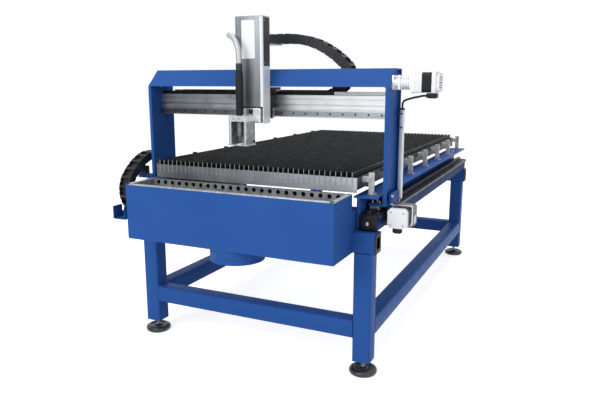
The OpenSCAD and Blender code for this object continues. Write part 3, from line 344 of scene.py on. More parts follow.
def metal(kind):
    s, scales = {"brush": (1, 1, 1), "spangle": False, **metalSettings[kind]}, metalScales
    mat, tree = newTree(kind)
    place = objectPlace(tree)
    lines = stretch(tree, place, s["brush"])
    if s["spangle"]:
        cells = addNode(tree, "TexVoronoi", "Color", {"Vector": lines, "Scale": s["grain"]})
        grain = addNode(tree, "SeparateColor", "Red", {"Color": cells})
        share = spread(tree, grain, 0, 1, 0, 1)
    else:
        grain = noise(tree, lines, s["grain"], *scales["brush"])
        share = spread(tree, grain, 0, 1)
    colour = mixed(tree, share, s["first"], s["second"])
    # painted shade: the colour turns to the dark inside colour behind the given depth
    if "shade" in s:
        colour = mixed(tree, spread(tree, alongAxis(tree, place, "Y"), 0, 1, *s["shade"]), colour, s["inside"])
    # painted reflection: the colour is scaled from its first share to its last along the axis
    if "fade" in s:
        axis, low, high, first, last = s["fade"]
        level = spread(tree, alongAxis(tree, place, axis), first, last, low, high)
        colour = addNode(tree, "VectorMath", "Vector", {0: colour, "Scale": level}, operation="SCALE")
    setInputs(tree, tree.nodes["Principled BSDF"], {
        "Base Color": colour, "Roughness": spread(tree, noise(tree, place, *scales["dust"]), *s["rough"]),
        "Normal": bump(tree, grain, s["bump"], scales["depth"]), "Metallic": s["metal"]})
    return mat


# scorched slats: worn along the top, with bright cut faces at both ends

slatSettings = {"dark": tone(20, 21, 23), "scorched": tone(36, 36, 37), "edge": tone(66, 70, 74),
                "top": (0.879, 0.8895), "end": tone(152, 157, 162), "middle": 0.078, "ends": (1.0190, 1.0194),
                "rough": (0.45, 0.7), "metal": 0.25, "sheen": 0.25, "run": (1, 0.25, 1), "stain": (18, 6, 0.65),
                "wear": (60, 3), "worn": (0.1, 0.9), "pits": (300, 3), "bump": (0.2, 0.001)}


def slatFinish():
    s = slatSettings
    mat, tree = newTree("scorchedSlat")
    place = objectPlace(tree)
    stain = noise(tree, stretch(tree, place, s["run"]), *s["stain"])
    colour = mixed(tree, spread(tree, stain, 0, 1), s["dark"], s["scorched"])
    height = spread(tree, alongAxis(tree, place, "Z"), 0, 1, *s["top"])
    wear = sums(tree, "MULTIPLY", height, spread(tree, noise(tree, place, *s["wear"]), *s["worn"]))
    colour = mixed(tree, wear, colour, s["edge"])
    reach = sums(tree, "ABSOLUTE", sums(tree, "SUBTRACT", alongAxis(tree, place, "Y"), s["middle"]))
    setInputs(tree, tree.nodes["Principled BSDF"], {
        "Base Color": mixed(tree, spread(tree, reach, 0, 1, *s["ends"]), colour, s["end"]),
        "Roughness": spread(tree, stain, *s["rough"]), "Metallic": s["metal"], "Specular IOR Level": s["sheen"],
        "Normal": bump(tree, noise(tree, place, *s["pits"]), *s["bump"])})
    return mat


plasticSettings = {
    "blackPlastic": {"first": tone(22, 23, 26), "second": tone(32, 33, 36), "rough": (0.42, 0.58), "grain": 700,
                     "bump": 0.12, "sheen": 0.2},
    "chainPlastic": {"first": tone(24, 27, 31), "second": tone(40, 44, 50), "rough": (0.38, 0.55), "grain": 500,
                     "bump": 0.1, "sheen": 0.3},
    "rubberPad": {"first": tone(28, 30, 34), "second": tone(38, 41, 46), "rough": (0.26, 0.38), "grain": 380,
                  "bump": 0.05, "sheen": 0.6},
    "labelFilm": {"first": tone(226, 228, 230), "second": tone(234, 235, 237), "rough": (0.3, 0.42), "grain": 500,
                  "bump": 0.03, "sheen": 0.4},
    "cableSheath": {"first": tone(34, 36, 40), "second": tone(48, 50, 54), "rough": (0.45, 0.6), "grain": 300,
                    "bump": 0.08, "sheen": 0.3},
}
plasticScales = {"drift": (9, 4), "detail": 2, "depth": 0.001}


def plastic(kind):
    s, scales = plasticSettings[kind], plasticScales
    mat, tree = newTree(kind)
    place = objectPlace(tree)
    grain = noise(tree, place, s["grain"], scales["detail"])
    setInputs(tree, tree.nodes["Principled BSDF"], {
        "Base Color": mixed(tree, spread(tree, noise(tree, place, *scales["drift"]), 0, 1), s["first"], s["second"]),
        "Roughness": spread(tree, grain, *s["rough"]), "Normal": bump(tree, grain, s["bump"], scales["depth"]),
        "Specular IOR Level": s["sheen"]})
    return mat


# woven sleeve of the torch lead: two waves that cross on the cord's own UV map

braidSettings = {"light": tone(196, 198, 200), "dark": tone(70, 72, 76), "around": 14, "along": 150,
                 "rough": (0.5, 0.3), "metal": 0.6, "map": "sleeve", "over": (-0.7, 0.5), "bump": (0.5, 0.0015)}


def braidFinish():
    s = braidSettings
    mat, tree = newTree("wovenSleeve")
    uv = addNode(tree, "UVMap", "UV", {}, uv_map=s["map"])

    def wave(sign):
        turn = sums(tree, "MULTIPLY", alongAxis(tree, uv, "X"), 2 * math.pi * s["around"] * sign)
        return sums(tree, "SINE", sums(tree, "MULTIPLY_ADD", alongAxis(tree, uv, "Y"), 2 * math.pi * s["along"], turn))

    over = spread(tree, sums(tree, "MULTIPLY", wave(1), wave(-1)), 0, 1, *s["over"])
    setInputs(tree, tree.nodes["Principled BSDF"], {
        "Base Color": mixed(tree, over, s["dark"], s["light"]), "Roughness": spread(tree, over, *s["rough"], 0, 1),
        "Normal": bump(tree, over, *s["bump"]), "Metallic": s["metal"]})
    return mat


finish = {k + "Paint": paint(k) for k in paintSettings}
finish.update({k: metal(k) for k in metalSettings})
finish.update({k: plastic(k) for k in plasticSettings})
finish["slat"] = slatFinish()
finish["braid"] = braidFinish()
print("finishes ready:", len(finish))


# modelling helpers: a span is the lowest and the highest place along an axis

def pair(sign, a, b):
    return (a, b) if sign > 0 else (-b, -a)


def grow(span, by):
    return span[0] - by, span[1] + by


def about(middle, half):
    return middle - half, middle + half


def edgesOf(verts):
    return list({e for v in verts for e in v.link_edges})


def facesOf(verts):
    return {f for v in verts for f in v.link_faces}


def newVerts(made):
    return [g for g in made["geom"] if isinstance(g, bmesh.types.BMVert)]


def paintFaces(faces, mat):
    for face in faces:
        face.material_index = mat


def roundEdges(bm, edges, width, steps):
    bmesh.ops.bevel(bm, geom=edges, offset=width / 1000, offset_type="OFFSET", segments=steps, profile=0.5,
                    affect="EDGES", material=-1)


# rounding of sheets and of plates, as width and steps
sheetEdge, plateEdge = (0.8, 1), (1.5, 2)


def addBlock(bm, x, y, z, edge=0.0, steps=2, along=None, mat=0):
    # along keeps the rounding to the edges that run in that axis
    a, b = row(x[0], y[0], z[0]), row(x[1], y[1], z[1])
    made = bmesh.ops.create_cube(bm, size=1.0)["verts"]
    bmesh.ops.scale(bm, verts=made, vec=b - a)
    bmesh.ops.translate(bm, verts=made, vec=(a + b) / 2)
    paintFaces(facesOf(made), mat)
    if edge:
        edges = edgesOf(made)
        if along is not None:
            edges = [e for e in edges if abs((e.verts[0].co - e.verts[1].co).normalized()[along]) > 0.9]
        roundEdges(bm, edges, edge, steps)


def addCone(bm, a, b, d, endD, sides, mat):
    run = b - a
    place = Matrix.Translation((a + b) / 2) @ run.to_track_quat("Z", "Y").to_matrix().to_4x4()
    made = bmesh.ops.create_cone(bm, cap_ends=True, cap_tris=False, segments=sides, radius1=d / 2000,
                                 radius2=endD / 2000, depth=run.length, matrix=place)["verts"]
    paintFaces(facesOf(made), mat)
    return made


def addRod(bm, start, end, d, sides=24, mat=0, endD=None, edge=0.0):
    made = addCone(bm, row(*start), row(*end), d, d if endD is None else endD, sides, mat)
    if edge:
        roundEdges(bm, [e for e in edgesOf(made) if any(len(f.verts) > 4 for f in e.link_faces) or sides <= 6], edge, 2)


socketShares = {"wall": 4.4, "slope": 40, "deep": 2.2}


def addScrew(bm, centre, axis, size, mat=0):
    # cap head with a dished socket; size is its diameter, height and sides
    axis, base, share = Vector(axis), Vector(centre), socketShares
    d, height, sides = size
    made = addCone(bm, row(*base), row(*(base + axis * height)), d, d, sides, mat)
    for lid in [f for f in facesOf(made) if f.normal.dot(axis) > 0.9 and len(f.verts) > 4]:
        bmesh.ops.inset_region(bm, faces=[lid], thickness=d / share["wall"] / 1000, depth=0, use_even_offset=True)
        bmesh.ops.inset_region(bm, faces=[lid], thickness=d / share["slope"] / 1000,
                               depth=-height / share["deep"] / 1000, use_even_offset=True)


def addLathe(bm, centre, profile, steps=48, mat=0):
    # profile runs from pole to pole as (radius, height)
    base, old = row(*centre), set(bm.faces)
    verts = [bm.verts.new(base + Vector((r / 1000, 0, h / 1000))) for r, h in profile]
    edges = [bm.edges.new(two) for two in zip(verts, verts[1:])]
    bmesh.ops.spin(bm, geom=verts + edges, cent=base, axis=(0, 0, 1), dvec=(0, 0, 0), angle=2 * math.pi, steps=steps,
                   use_merge=True)
    if mat:
        paintFaces(set(bm.faces) - old, mat)


def addPrism(bm, outline, axis, low, high, mat=0):
    def place(p, at):
        return {"x": row(at, p[0], p[1]), "y": row(p[0], at, p[1]), "z": row(p[0], p[1], at)}[axis]
    verts = [bm.verts.new(place(p, low)) for p in outline]
    moved = newVerts(bmesh.ops.extrude_face_region(bm, geom=[bm.faces.new(verts)]))
    bmesh.ops.translate(bm, verts=moved, vec=place(outline[0], high) - place(outline[0], low))
    paintFaces(facesOf(verts + moved), mat)
    return moved


def keyhole(centre, r, gap):
    # the ring of a round seat, left open by gap degrees at the front
    turn = 360 - 2 * gap
    return [(centre[0] + r * math.cos(a), centre[1] + r * math.sin(a))
            for a in [math.radians(gap - 90 - k * turn / 40) for k in range(41)]]


def makePiece(name, bm, finishes, body, slot, replacing, blendTo=None, angle=38, merge=False):
    if merge:
        bmesh.ops.remove_doubles(bm, verts=bm.verts, dist=1e-6)
    bmesh.ops.recalc_face_normals(bm, faces=bm.faces)
    mesh = bpy.data.meshes.new(name)
    bm.to_mesh(mesh)
    bm.free()
    for f in finishes:
        mesh.materials.append(finish[f])
    mesh.polygons.foreach_set("use_smooth", [True] * len(mesh.polygons))
    mesh.set_sharp_from_angle(angle=math.radians(angle))
    obj = bpy.data.objects.new(name, mesh)
    scene.collection.objects.link(obj)
    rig.slot(obj, slot)
    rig.replaces(obj, *replacing)
    if blendTo:
        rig.blend(obj, *blendTo)
    elif body:
        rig.ride(obj, body)
    return obj


# cords: one smooth tube along the route's points

def smoothRoute(points, each=4):
    pts = [Vector(p) for p in points]
    out = []
    for i in range(len(pts) - 1):
        p0, p1, p2, p3 = pts[max(i - 1, 0)], pts[i], pts[i + 1], pts[min(i + 2, len(pts) - 1)]
        for k in range(each):
            t = k / each
            out.append(0.5 * (2 * p1 + (p2 - p0) * t + (2 * p0 - 5 * p1 + 4 * p2 - p3) * t * t
                              + (3 * p1 - p0 - 3 * p2 + p3) * t ** 3))
    out.append(pts[-1])
    return out


def cordTube(s, uvName=None):
    path, sides = [row(*p) for p in smoothRoute(s["points"])], s["sides"]
    bm = bmesh.new()
    uv = bm.loops.layers.uv.new(uvName) if uvName else None
    aim = (path[1] - path[0]).normalized()
    facing = Matrix.Translation(path[0]) @ aim.to_track_quat("Z", "Y").to_matrix().to_4x4()
    ring = bmesh.ops.create_circle(bm, cap_ends=False, segments=sides, radius=s["d"] / 2000, matrix=facing)["verts"]
    around = {v: k / sides for k, v in enumerate(ring)}
    run = {v: 0.0 for v in ring}
    edges = edgesOf(ring)
    first, length = list(ring), 0.0
    for i in range(1, len(path)):
        ahead = (path[min(i + 1, len(path) - 1)] - path[i - 1]).normalized()
        grown = bmesh.ops.extrude_edge_only(bm, edges=edges)
        ring = newVerts(grown)
        length += (path[i] - path[i - 1]).length
        for v in ring:
            old = [e.other_vert(v) for e in v.link_edges if e.other_vert(v) in around][0]
            around[v] = around[old]
            run[v] = length
        bend = aim.rotation_difference(ahead).to_matrix().to_4x4()
        bmesh.ops.transform(bm, verts=ring,
                            matrix=Matrix.Translation(path[i]) @ bend @ Matrix.Translation(-path[i - 1]))
        aim = ahead
        edges = [g for g in grown["geom"] if isinstance(g, bmesh.types.BMEdge)]
    if uv:
        for face in bm.faces:
            us = [around[l.vert] for l in face.loops]
            wrap = max(us) - min(us) > 0.5
            for l, u in zip(face.loops, us):
                l[uv].uv = (u + 1 if wrap and u < 0.5 else u, run[l.vert])
    for end in (first, ring):
        bmesh.ops.contextual_create(bm, geom=[e for e in edgesOf(end) if all(w in end for w in e.verts)])
    return bm, path, length


leadSettings = {"d": 24, "sides": 20, "blend": (8, -6), "points": [
    (-22, 0.5, 1338), (-22, 0.5, 1357), (-22.4, 0.5, 1375), (-24, 0.6, 1393), (-29, 1, 1411), (-38, 4, 1428),
    (-50, 9, 1442), (-66, 18, 1453), (-84, 32, 1460), (-101, 52, 1463), (-114, 78, 1463), (-122, 108, 1462),
    (-127, 142, 1461), (-130, 174, 1460), (-131, 206, 1460), (-130, 240, 1460), (-124, 272, 1460),
    (-112, 300, 1460), (-94, 321, 1460), (-72, 334, 1460), (-52, 338, 1460), (-42, 338, 1460)]}


def torchLead():
    s = leadSettings
    bm, path, length = cordTube(s, braidSettings["map"])
    blend = ("torch_lift", "carriage", *(path[k] for k in s["blend"]))
    lead = makePiece("torchLead", bm, ["braid"], None, "lead_sleeve", ["torch_lead"], blend, angle=60)
    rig.cord(lead, exit=path[0], length=length, diameter=s["d"] / 1000, far_end="object", stiffness="stiff",
            lay="hanging", path=path)


cableSettings = {"d": 9, "sides": 14, "points": [
    (761, 182, 1204), (745, 182, 1204), (725, 187, 1200), (703, 199, 1196), (682, 217, 1191), (662, 238, 1186),
    (645, 260, 1180), (634, 278, 1170), (630, 288, 1156), (630, 290, 1136), (630, 290, 1116)]}


def motorCable():
    s = cableSettings
    bm, path, length = cordTube(s)
    cable = makePiece("motorCable", bm, ["cableSheath"], "gantry", "cable_sheath", ["motor_cable"], angle=60)
    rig.cord(cable, exit=path[0], length=length, diameter=s["d"] / 1000, far_end="object", stiffness="medium",
            lay="hanging", path=path)


torchLead()
motorCable()
print("cords laid")


# frame of square tube with rounded corners

tubeSettings = {"radius": 9, "steps": 4, "legX": (519, 599), "frontY": (0, 80), "rearY": (2050, 2130),
                "legZ": (63, 552), "stretcherZ": (169, 249), "headX": (510, 611), "headZ": (552, 642), "bead": 7}


def frameTubes():
    s = tubeSettings
    r, n, bead, z = s["radius"], s["steps"], s["bead"], s["stretcherZ"]
    ends, between = (s["frontY"], s["rearY"]), (s["frontY"][1], s["rearY"][0])
    legs, across, sides, heads, rear = (bmesh.new() for _ in range(5))
    for sign in (1, -1):
        x = pair(sign, *s["legX"])
        for y in ends:
            addBlock(legs, x, y, s["legZ"], r, n, 2)
        addBlock(sides, x, between, z, r, n, 1)
        addBlock(heads, pair(sign, *s["headX"]), s["frontY"], s["headZ"], r, n, 0)
        # weld beads where the stretchers meet the legs
        inner = sign * s["legX"][0]
        for y in between:
            for zz in z:
                addRod(sides, (x[0] + r, y, zz), (x[1] - r, y, zz), bead, 8)
            addRod(sides, (inner, y, z[0] + r), (inner, y, z[1] - r), bead, 8)
    for y in ends:
        inner = s["legX"][0]
        addBlock(across, (-inner, inner), y, z, r, n, 0)
        for x in (inner, -inner):
            for zz in z:
                addRod(across, (x, y[0] + r, zz), (x, y[1] - r, zz), bead, 8)
    addBlock(rear, (-s["headX"][1], s["headX"][1]), s["rearY"], s["headZ"], r, n, 0)
    for name, bm, node in (("legTubes", legs, "legs"), ("crossStretcherTubes", across, "cross_stretchers"),
                           ("sideStretcherTubes", sides, "side_stretchers"), ("legHeadTubes", heads, "leg_heads"),
                           ("rearBeamTube", rear, "rear_cross_beam")):
        makePiece(name, bm, ["bluePaint"], "table", "blue_paint", [node])


capSettings = {"x": (611, 615), "edge": 3, "play": 0.5, "panel": (18, 20), "raised": 0.5}


def endCaps():
    s, t = capSettings, tubeSettings
    bm = bmesh.new()
    outer = s["x"][1]
    for sign in (1, -1):
        for y in (t["frontY"], t["rearY"]):
            addBlock(bm, pair(sign, *s["x"]), grow(y, -s["play"]), grow(t["headZ"], -s["play"]), s["edge"], 3)
            addBlock(bm, pair(sign, outer - s["raised"], outer), grow(y, -s["panel"][0]),
                     grow(t["headZ"], -s["panel"][1]), 0.2, 1)
    makePiece("endCaps", bm, ["blackPlastic"], "table", "black_plastic", ["beam_end_caps"])


frameTubes()
endCaps()
print("frame tubes done")


# side rails

railSettings = {"beamX": (525, 605), "beamZ": (642, 712), "y": (45, 2110), "radius": 7, "webX": (513, 525),
                "webTop": 780, "coverX": (498, 598), "coverZ": (780, 788), "guideX": 565, "guideZ": (712, 727),
                "guideY": (60, 2095), "rackX": (605, 617), "rackZ": (697.5, 711.5), "toothPitch": 6.2832, "tooth": 4.5}
guideShape = {"half": 10, "height": 15, "waist": (5, 7, 10, 12), "deep": 3, "edge": 0.6, "holeD": 9.5, "pitch": 60}


def guideOutline():
    # section of a linear guide rail as (across, up), with a waist on both sides for the balls
    s = guideShape
    h, up, e, (a, b, c, d) = s["half"], s["height"], s["edge"], s["waist"]
    side = [(h, a), (h - s["deep"], b), (h - s["deep"], c), (h, d), (h, up - e), (h - e, up)]
    return [(-h, 0), (h, 0)] + side + [(-u, v) for u, v in reversed(side)]


def holePlaces(low, high):
    places, at = [], low + guideShape["pitch"] / 2
    while at < high:
        places.append(at)
        at += guideShape["pitch"]
    return places


def sideRails():
    s = railSettings
    beams, covers, guides = bmesh.new(), bmesh.new(), bmesh.new()
    z0, z1 = s["guideZ"]
    for sign in (1, -1):
        addBlock(beams, pair(sign, *s["beamX"]), s["y"], s["beamZ"], s["radius"], 4, 1)
        addBlock(covers, pair(sign, *s["webX"]), s["y"], (s["beamZ"][0], s["webTop"]), 1.2, 2)
        addBlock(covers, pair(sign, *s["coverX"]), s["y"], s["coverZ"], *plateEdge)
        mid = sign * s["guideX"]
        addPrism(guides, [(mid + u, z0 + v) for u, v in guideOutline()], "y", *s["guideY"])
        for y in holePlaces(*s["guideY"]):
            addRod(guides, (mid, y, z1 - 1), (mid, y, z1 + 0.05), guideShape["holeD"], 12, 1)
    # the top faces of the beams under the guide rails are painted black, as painted shade under the rail covers
    beams.normal_update()
    paintFaces([f for f in beams.faces if f.normal.z > 0.9], 1)
    # the side beams take the darker blue as painted shade
    makePiece("sideBeamTubes", beams, ["deepBluePaint", "blackPaint"], "table", "blue_paint", ["side_beams"])
    # the faces towards the bed are painted black, as painted shade under the bed
    covers.normal_update()
    paintFaces([f for f in covers.faces if f.normal.x * f.calc_center_median().x < -0.3], 1)
    makePiece("railCoverPlates", covers, ["bluePaint", "blackPaint"], "table", "blue_paint", ["rail_covers"])
    # the guide rails take dark steel as painted shade under the rail covers
    makePiece("guideRailBars", guides, ["darkSteel", "blackPlastic"], "table", "machined_steel", ["guide_rails"])


def gearRacks():
    # one tooth pitch of each rack, repeated along the rail
    s = railSettings
    bm = bmesh.new()
    p, (z0, z1), (y0, y1), root = s["toothPitch"], s["rackZ"], s["guideY"], s["rackZ"][0] + s["tooth"]
    outline = [(y0, root), (y0 + 0.22 * p, root), (y0 + 0.36 * p, z0), (y0 + 0.64 * p, z0), (y0 + 0.78 * p, root),
               (y0 + p, root), (y0 + p, z1), (y0, z1)]
    for sign in (1, -1):
        addPrism(bm, outline, "x", *pair(sign, *s["rackX"]))
    rack = makePiece("gearRackBars", bm, ["darkSteel"], None, "machined_steel", ["gear_racks"])
    array = rack.modifiers.new("teeth", "ARRAY")
    array.count = int((y1 - y0) / p)
    array.use_relative_offset = False
    array.use_constant_offset = True
    array.constant_offset_displace = (0, p / 1000, 0)
    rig.ride(rack, "table")


plugSettings = {"plate": 4, "play": 0.5, "domeD": (64.4, 50.4), "dome": 8, "boltD": 18.7, "bolt": 5}


def beamPlugs():
    s, r = plugSettings, railSettings
    bm = bmesh.new()
    zm = sum(r["beamZ"]) / 2
    for sign in (1, -1):
        x = pair(sign, *r["beamX"])
        xm = sum(x) / 2
        for y, way in ((r["y"][0], -1), (r["y"][1], 1)):
            plate, dome, bolt = (y + way * k for k in (s["plate"], s["plate"] + s["dome"],
                                                       s["plate"] + s["dome"] + s["bolt"]))
            addBlock(bm, grow(x, -s["play"]), sorted((y, plate)), grow(r["beamZ"], -s["play"]), 1.6, 2)
            addRod(bm, (xm, plate, zm), (xm, dome, zm), s["domeD"][0], 40, endD=s["domeD"][1])
            addRod(bm, (xm, dome, zm), (xm, bolt, zm), s["boltD"], 6, 1, edge=0.8)
    makePiece("beamPlugs", bm, ["blackPlastic", "machined"], "table", "black_plastic", ["side_beam_plugs"])


sideRails()
gearRacks()
beamPlugs()
print("side rails done")


# levelling feet

footSettings = {"x": 559, "y": (40, 2090), "padD": 124, "stemD": 16, "stemZ": (11.5, 92), "thread": (2.0, 1.1),
                "nutZ": (52, 63), "nutW": 26}


def padProfile(r):
    rim = [(r - 12, 0), (r - 7, 1), (r - 3, 4), (r - 0.8, 8), (r, 12), (r, 17), (r - 1, 20), (r - 4, 24),
           (r - 9, 27.2), (r - 15, 29.2), (r - 21, 29.6), (r - 24, 28), (r - 26, 25.4)]
    hub = [(24, 24.8), (22, 26), (19, 30), (17, 31), (12, 31), (8.4, 30.2), (8.4, 11), (0, 10.5)]
    return [(0, 0)] + rim + hub


def stemProfile():
    s = footSettings
    pitch, deep = s["thread"]
    z, outer = s["stemZ"][0], s["stemD"] / 2
    profile = [(0, z - 0.5)]
    while z < s["stemZ"][1]:
        profile += [(outer - deep, z), (outer, z + pitch / 2)]
        z += pitch
    return profile + [(outer - deep, z), (0, z)]


def levellingFeet():
    s = footSettings
    stems = bmesh.new()
    for end, y in zip(("front", "rear"), s["y"]):
        for side, x in (("left", -s["x"]), ("right", s["x"])):
            spot = f"{end}_{side}"
            pad = bmesh.new()
            addLathe(pad, (x, y, 0), padProfile(s["padD"] / 2), 56)
            makePiece("swivelPad_" + spot, pad, ["rubberPad"], "pad_" + spot, "black_plastic", ["foot_pad_" + spot],
                      merge=True)
            addLathe(stems, (x, y, 0), stemProfile(), 20)
            low, high = ((x, y, z) for z in s["nutZ"])
            addRod(stems, low, high, s["nutW"] / math.cos(math.pi / 6), 6, edge=1.0)
    makePiece("footStems", stems, ["machined"], "table", "machined_steel", ["foot_spindles"], merge=True)


levellingFeet()
print("feet done")


# extraction trough, painted outside and bare zinc inside

troughSettings = {"halfX": 510, "y": (-204, 96), "z": (551, 806), "lidZ": 732, "baffleY": -30, "sheet": 3, "hem": 20,
                  "lip": (0.3, 4, 0.8), "lining": 0.4, "ductY": -79, "ductD": 246, "ductZ": (487, 551)}


def troughShell():
    s = troughSettings
    bm = bmesh.new()
    x, (y0, y1), (z0, z1), lid, t = s["halfX"], s["y"], s["z"], s["lidZ"], s["sheet"]
    back, thin, (proud, under, over) = s["baffleY"], s["lining"], s["lip"]
    inside, lip = (t - x, x - t), (z1 - under, z1 + over)
    # walls, floor and lid as folded sheets, each with its zinc lining
    addBlock(bm, (-x, x), (y0, y0 + t), (z0, z1), *sheetEdge)
    addBlock(bm, inside, (y0 + t, y1 - t), (z0, z0 + t))
    for sign in (1, -1):
        addPrism(bm, [(y0 + t, z0), (y1, z0), (y1, lid), (0, lid), (0, z1), (y0 + t, z1)], "x", *pair(sign, x - t, x))
        addPrism(bm, [(y0 + t, z0 + t), (y1 - t, z0 + t), (y1 - t, lid - t), (back, lid - t), (back, z1 - 1),
                      (y0 + t, z1 - 1)], "x", *pair(sign, x - t - thin, x - t), mat=1)
        addBlock(bm, pair(sign, x - s["hem"], x + proud), (y0 - proud, 0), lip, 1.2, 2, mat=1)
    addBlock(bm, inside, (y1 - t, y1), (z0, lid))
    addBlock(bm, inside, (back, y1 - t), (lid - t, lid))
    addBlock(bm, inside, (y0 + t, y0 + t + thin), (z0 + t + thin, z1 - 1), mat=1)
    addBlock(bm, (-x, x), (y0 - proud, y0 + s["hem"]), lip, 1.2, 2, mat=1)
    makePiece("troughShell", bm, ["bluePaint", "zinc"], "table", "blue_paint", ["extraction_trough"])


def ductRing():
    s = troughSettings
    bm = bmesh.new()
    r, (z0, z1) = s["ductD"] / 2, s["ductZ"]
    profile = [(r - 2, z0), (r - 0.4, z0), (r, z0 + 1), (r, z0 + 12), (r - 1.2, z0 + 14), (r - 1.2, z0 + 18),
               (r, z0 + 20), (r, z1), (r - 2, z1), (r - 2, z0)]
    addLathe(bm, (0, s["ductY"], 0), profile, 72)
    makePiece("ductRing", bm, ["bluePaint"], "table", "blue_paint", ["duct_collar"], merge=True)


troughShell()
ductRing()
print("trough done")


# brackets that carry the slat bed, the left ones painted dark as painted shade

bedSettings = {"x": (547, 572), "z": (788, 884), "tieX": (517, 547), "tieZ": (842, 867), "y": (95, 2003), "count": 7,
               "plate": 8, "footX": (540, 579), "foot": (22, 5), "boltX": 559, "bolt": (11, 6, 16), "pinX": 560,
               "pinZ": (850, 859), "pin": (7, 3, 12)}


def bedBrackets():
    s = bedSettings
    bm = bmesh.new()
    step = (s["y"][1] - s["y"][0]) / (s["count"] - 1)
    plate, (long, thick), base = s["plate"], s["foot"], s["z"][0]
    # the left brackets take dark steel for plate and tie as painted shade
    for sign, mat in ((1, 0), (-1, 2)):
        for i in range(s["count"]):
            y = s["y"][0] + i * step
            addBlock(bm, pair(sign, *s["x"]), (y, y + plate), s["z"], *sheetEdge, mat=mat)
            addBlock(bm, pair(sign, *s["tieX"]), (y, y + plate), s["tieZ"], *sheetEdge, mat=mat)
            addBlock(bm, pair(sign, *s["footX"]), (y + plate, y + plate + long), (base, base + thick), *sheetEdge)
            addScrew(bm, (sign * s["boltX"], y + plate + long / 2, base + thick), (0, 0, 1), s["bolt"], 1)
            for z in s["pinZ"]:
                addScrew(bm, (sign * s["pinX"], y, z), (0, -1, 0), s["pin"], 1)
    makePiece("bedBracketPlates", bm, ["zinc", "machined", "darkSteel"], "table", "galvanised", ["bed_brackets"])


bedBrackets()
print("bed brackets done")


# gantry: folded side plates, hood and cross extrusion

gantrySettings = {"x": (602, 620), "y": (122, 300), "z": (748, 1317), "bevel": 78, "rim": 6, "rimEdge": 2.8,
                  "tabX": (-710, -608), "tabY": (202, 230), "tabZ": (861.7, 867.7), "ledgeY": (122, 148),
                  "ledgeZ": (776, 798), "uprightX": (-710, -640), "uprightY": (122, 128), "uprightZ": (798, 840),
                  "uprightScrew": (9, 0.2, 12), "uprightIn": (14, 12), "footBolt": (12, 8, 16),
                  "footX": (540, 620), "footZ": (736, 748), "boltX": (553, 585), "boltY": (140, 180, 242, 282),
                  "studX": 569, "studY": (160, 262), "nut": (24, 9), "stud": (13, 24)}


def gantryPlates():
    s = gantrySettings
    bm = bmesh.new()
    (y0, y1), (z0, z1), c, x = s["y"], s["z"], s["bevel"], s["x"]
    outline = [(y0, z0), (y1, z0), (y1, z1), (y0 + c, z1), (y0, z1 - c)]
    for sign in (1, -1):
        moved = addPrism(bm, outline, "x", sign * x[0], sign * x[1])
        bm.normal_update()
        outer = [f for f in facesOf(moved) if all(v in moved for v in f.verts)]
        rim = list({e for f in outer for e in f.edges})
        bmesh.ops.inset_region(bm, faces=outer, thickness=s["rim"] / 1000, depth=0, use_even_offset=True)
        low = newVerts(bmesh.ops.extrude_face_region(bm, geom=outer))
        bmesh.ops.delete(bm, geom=outer, context="FACES_ONLY")
        bmesh.ops.translate(bm, verts=low, vec=(-sign * (x[1] - x[0] - s["rim"]) / 1000, 0, 0))
        roundEdges(bm, [e for e in rim if e.is_valid], s["rimEdge"], 3)
    addBlock(bm, s["tabX"], s["tabY"], s["tabZ"], 1.0, 2)
    # ledge and dark upright below the moving end of the long chain
    addBlock(bm, s["tabX"], s["ledgeY"], s["ledgeZ"], *plateEdge)
    u, v, w = s["uprightX"], s["uprightY"], s["uprightZ"]
    addBlock(bm, u, v, w, 1.0, 2, mat=1)
    screw, (across, up) = s["uprightScrew"], s["uprightIn"]
    for at in grow(u, -across):
        addScrew(bm, (at, v[0] + screw[1], w[0] + up), (0, -1, 0), screw, 1)
    makePiece("gantrySidePlates", bm, ["bluePaint", "blackPaint"], "gantry", "blue_paint", ["gantry_plates"])


def gantryFeet():
    s = gantrySettings
    bm = bmesh.new()
    top, (nutD, nutH), (studD, studH) = s["footZ"][1], s["nut"], s["stud"]
    for sign in (1, -1):
        addBlock(bm, pair(sign, *s["footX"]), s["y"], s["footZ"], *plateEdge)
        for y in s["boltY"]:
            for x in s["boltX"]:
                addScrew(bm, (sign * x, y, top), (0, 0, 1), s["footBolt"], 1)
        # adjusting studs with their nuts
        for y in s["studY"]:
            low, nut, end = ((sign * s["studX"], y, top + up) for up in (0, nutH, studH))
            addRod(bm, low, nut, nutD, 6, 1, edge=0.8)
            addRod(bm, nut, end, studD, 20, 1, edge=0.8)
    makePiece("gantryFootPlates", bm, ["bluePaint", "machined"], "gantry", "blue_paint", ["gantry_feet"])


hoodSettings = {"halfX": 602, "y": (122, 254), "z": (1239, 1317), "bevel": 78, "sheet": 4}


def beamHood():
    s = hoodSettings
    bm = bmesh.new()
    (y0, y1), (z0, z1), c, t = s["y"], s["z"], s["bevel"], s["sheet"]
    slant = t * (math.sqrt(2) - 1)
    outline = [(y0, z0), (y0 + c - 3, z1 - 3), (y0 + c - 0.8, z1 - 1), (y0 + c + 2.5, z1), (y1 - 3, z1),
               (y1 - 0.9, z1 - 0.9), (y1, z1 - 3), (y1, z0), (y1 - t, z0), (y1 - t, z1 - t), (y0 + c + slant, z1 - t),
               (y0 + t * math.sqrt(2), z0)]
    addPrism(bm, outline, "x", -s["halfX"], s["halfX"])
    makePiece("beamHoodSheet", bm, ["bluePaint"], "gantry", "blue_paint", ["beam_hood"], angle=30)


# grooves and slots are given by their distance from the lower edge
extrusionSettings = {"halfX": 602, "y": (206, 266), "z": (1102, 1202), "slot": (50, 58), "slotDeep": (3, 10, 4),
                     "grooves": (84, 36), "grooveDeep": 1.5, "backSlots": (11, 76), "backSlot": (7, 8),
                     "railY": 206, "railZ": 1119, "topY": (226, 246), "topZ": (1202, 1217), "trayEnd": 334}


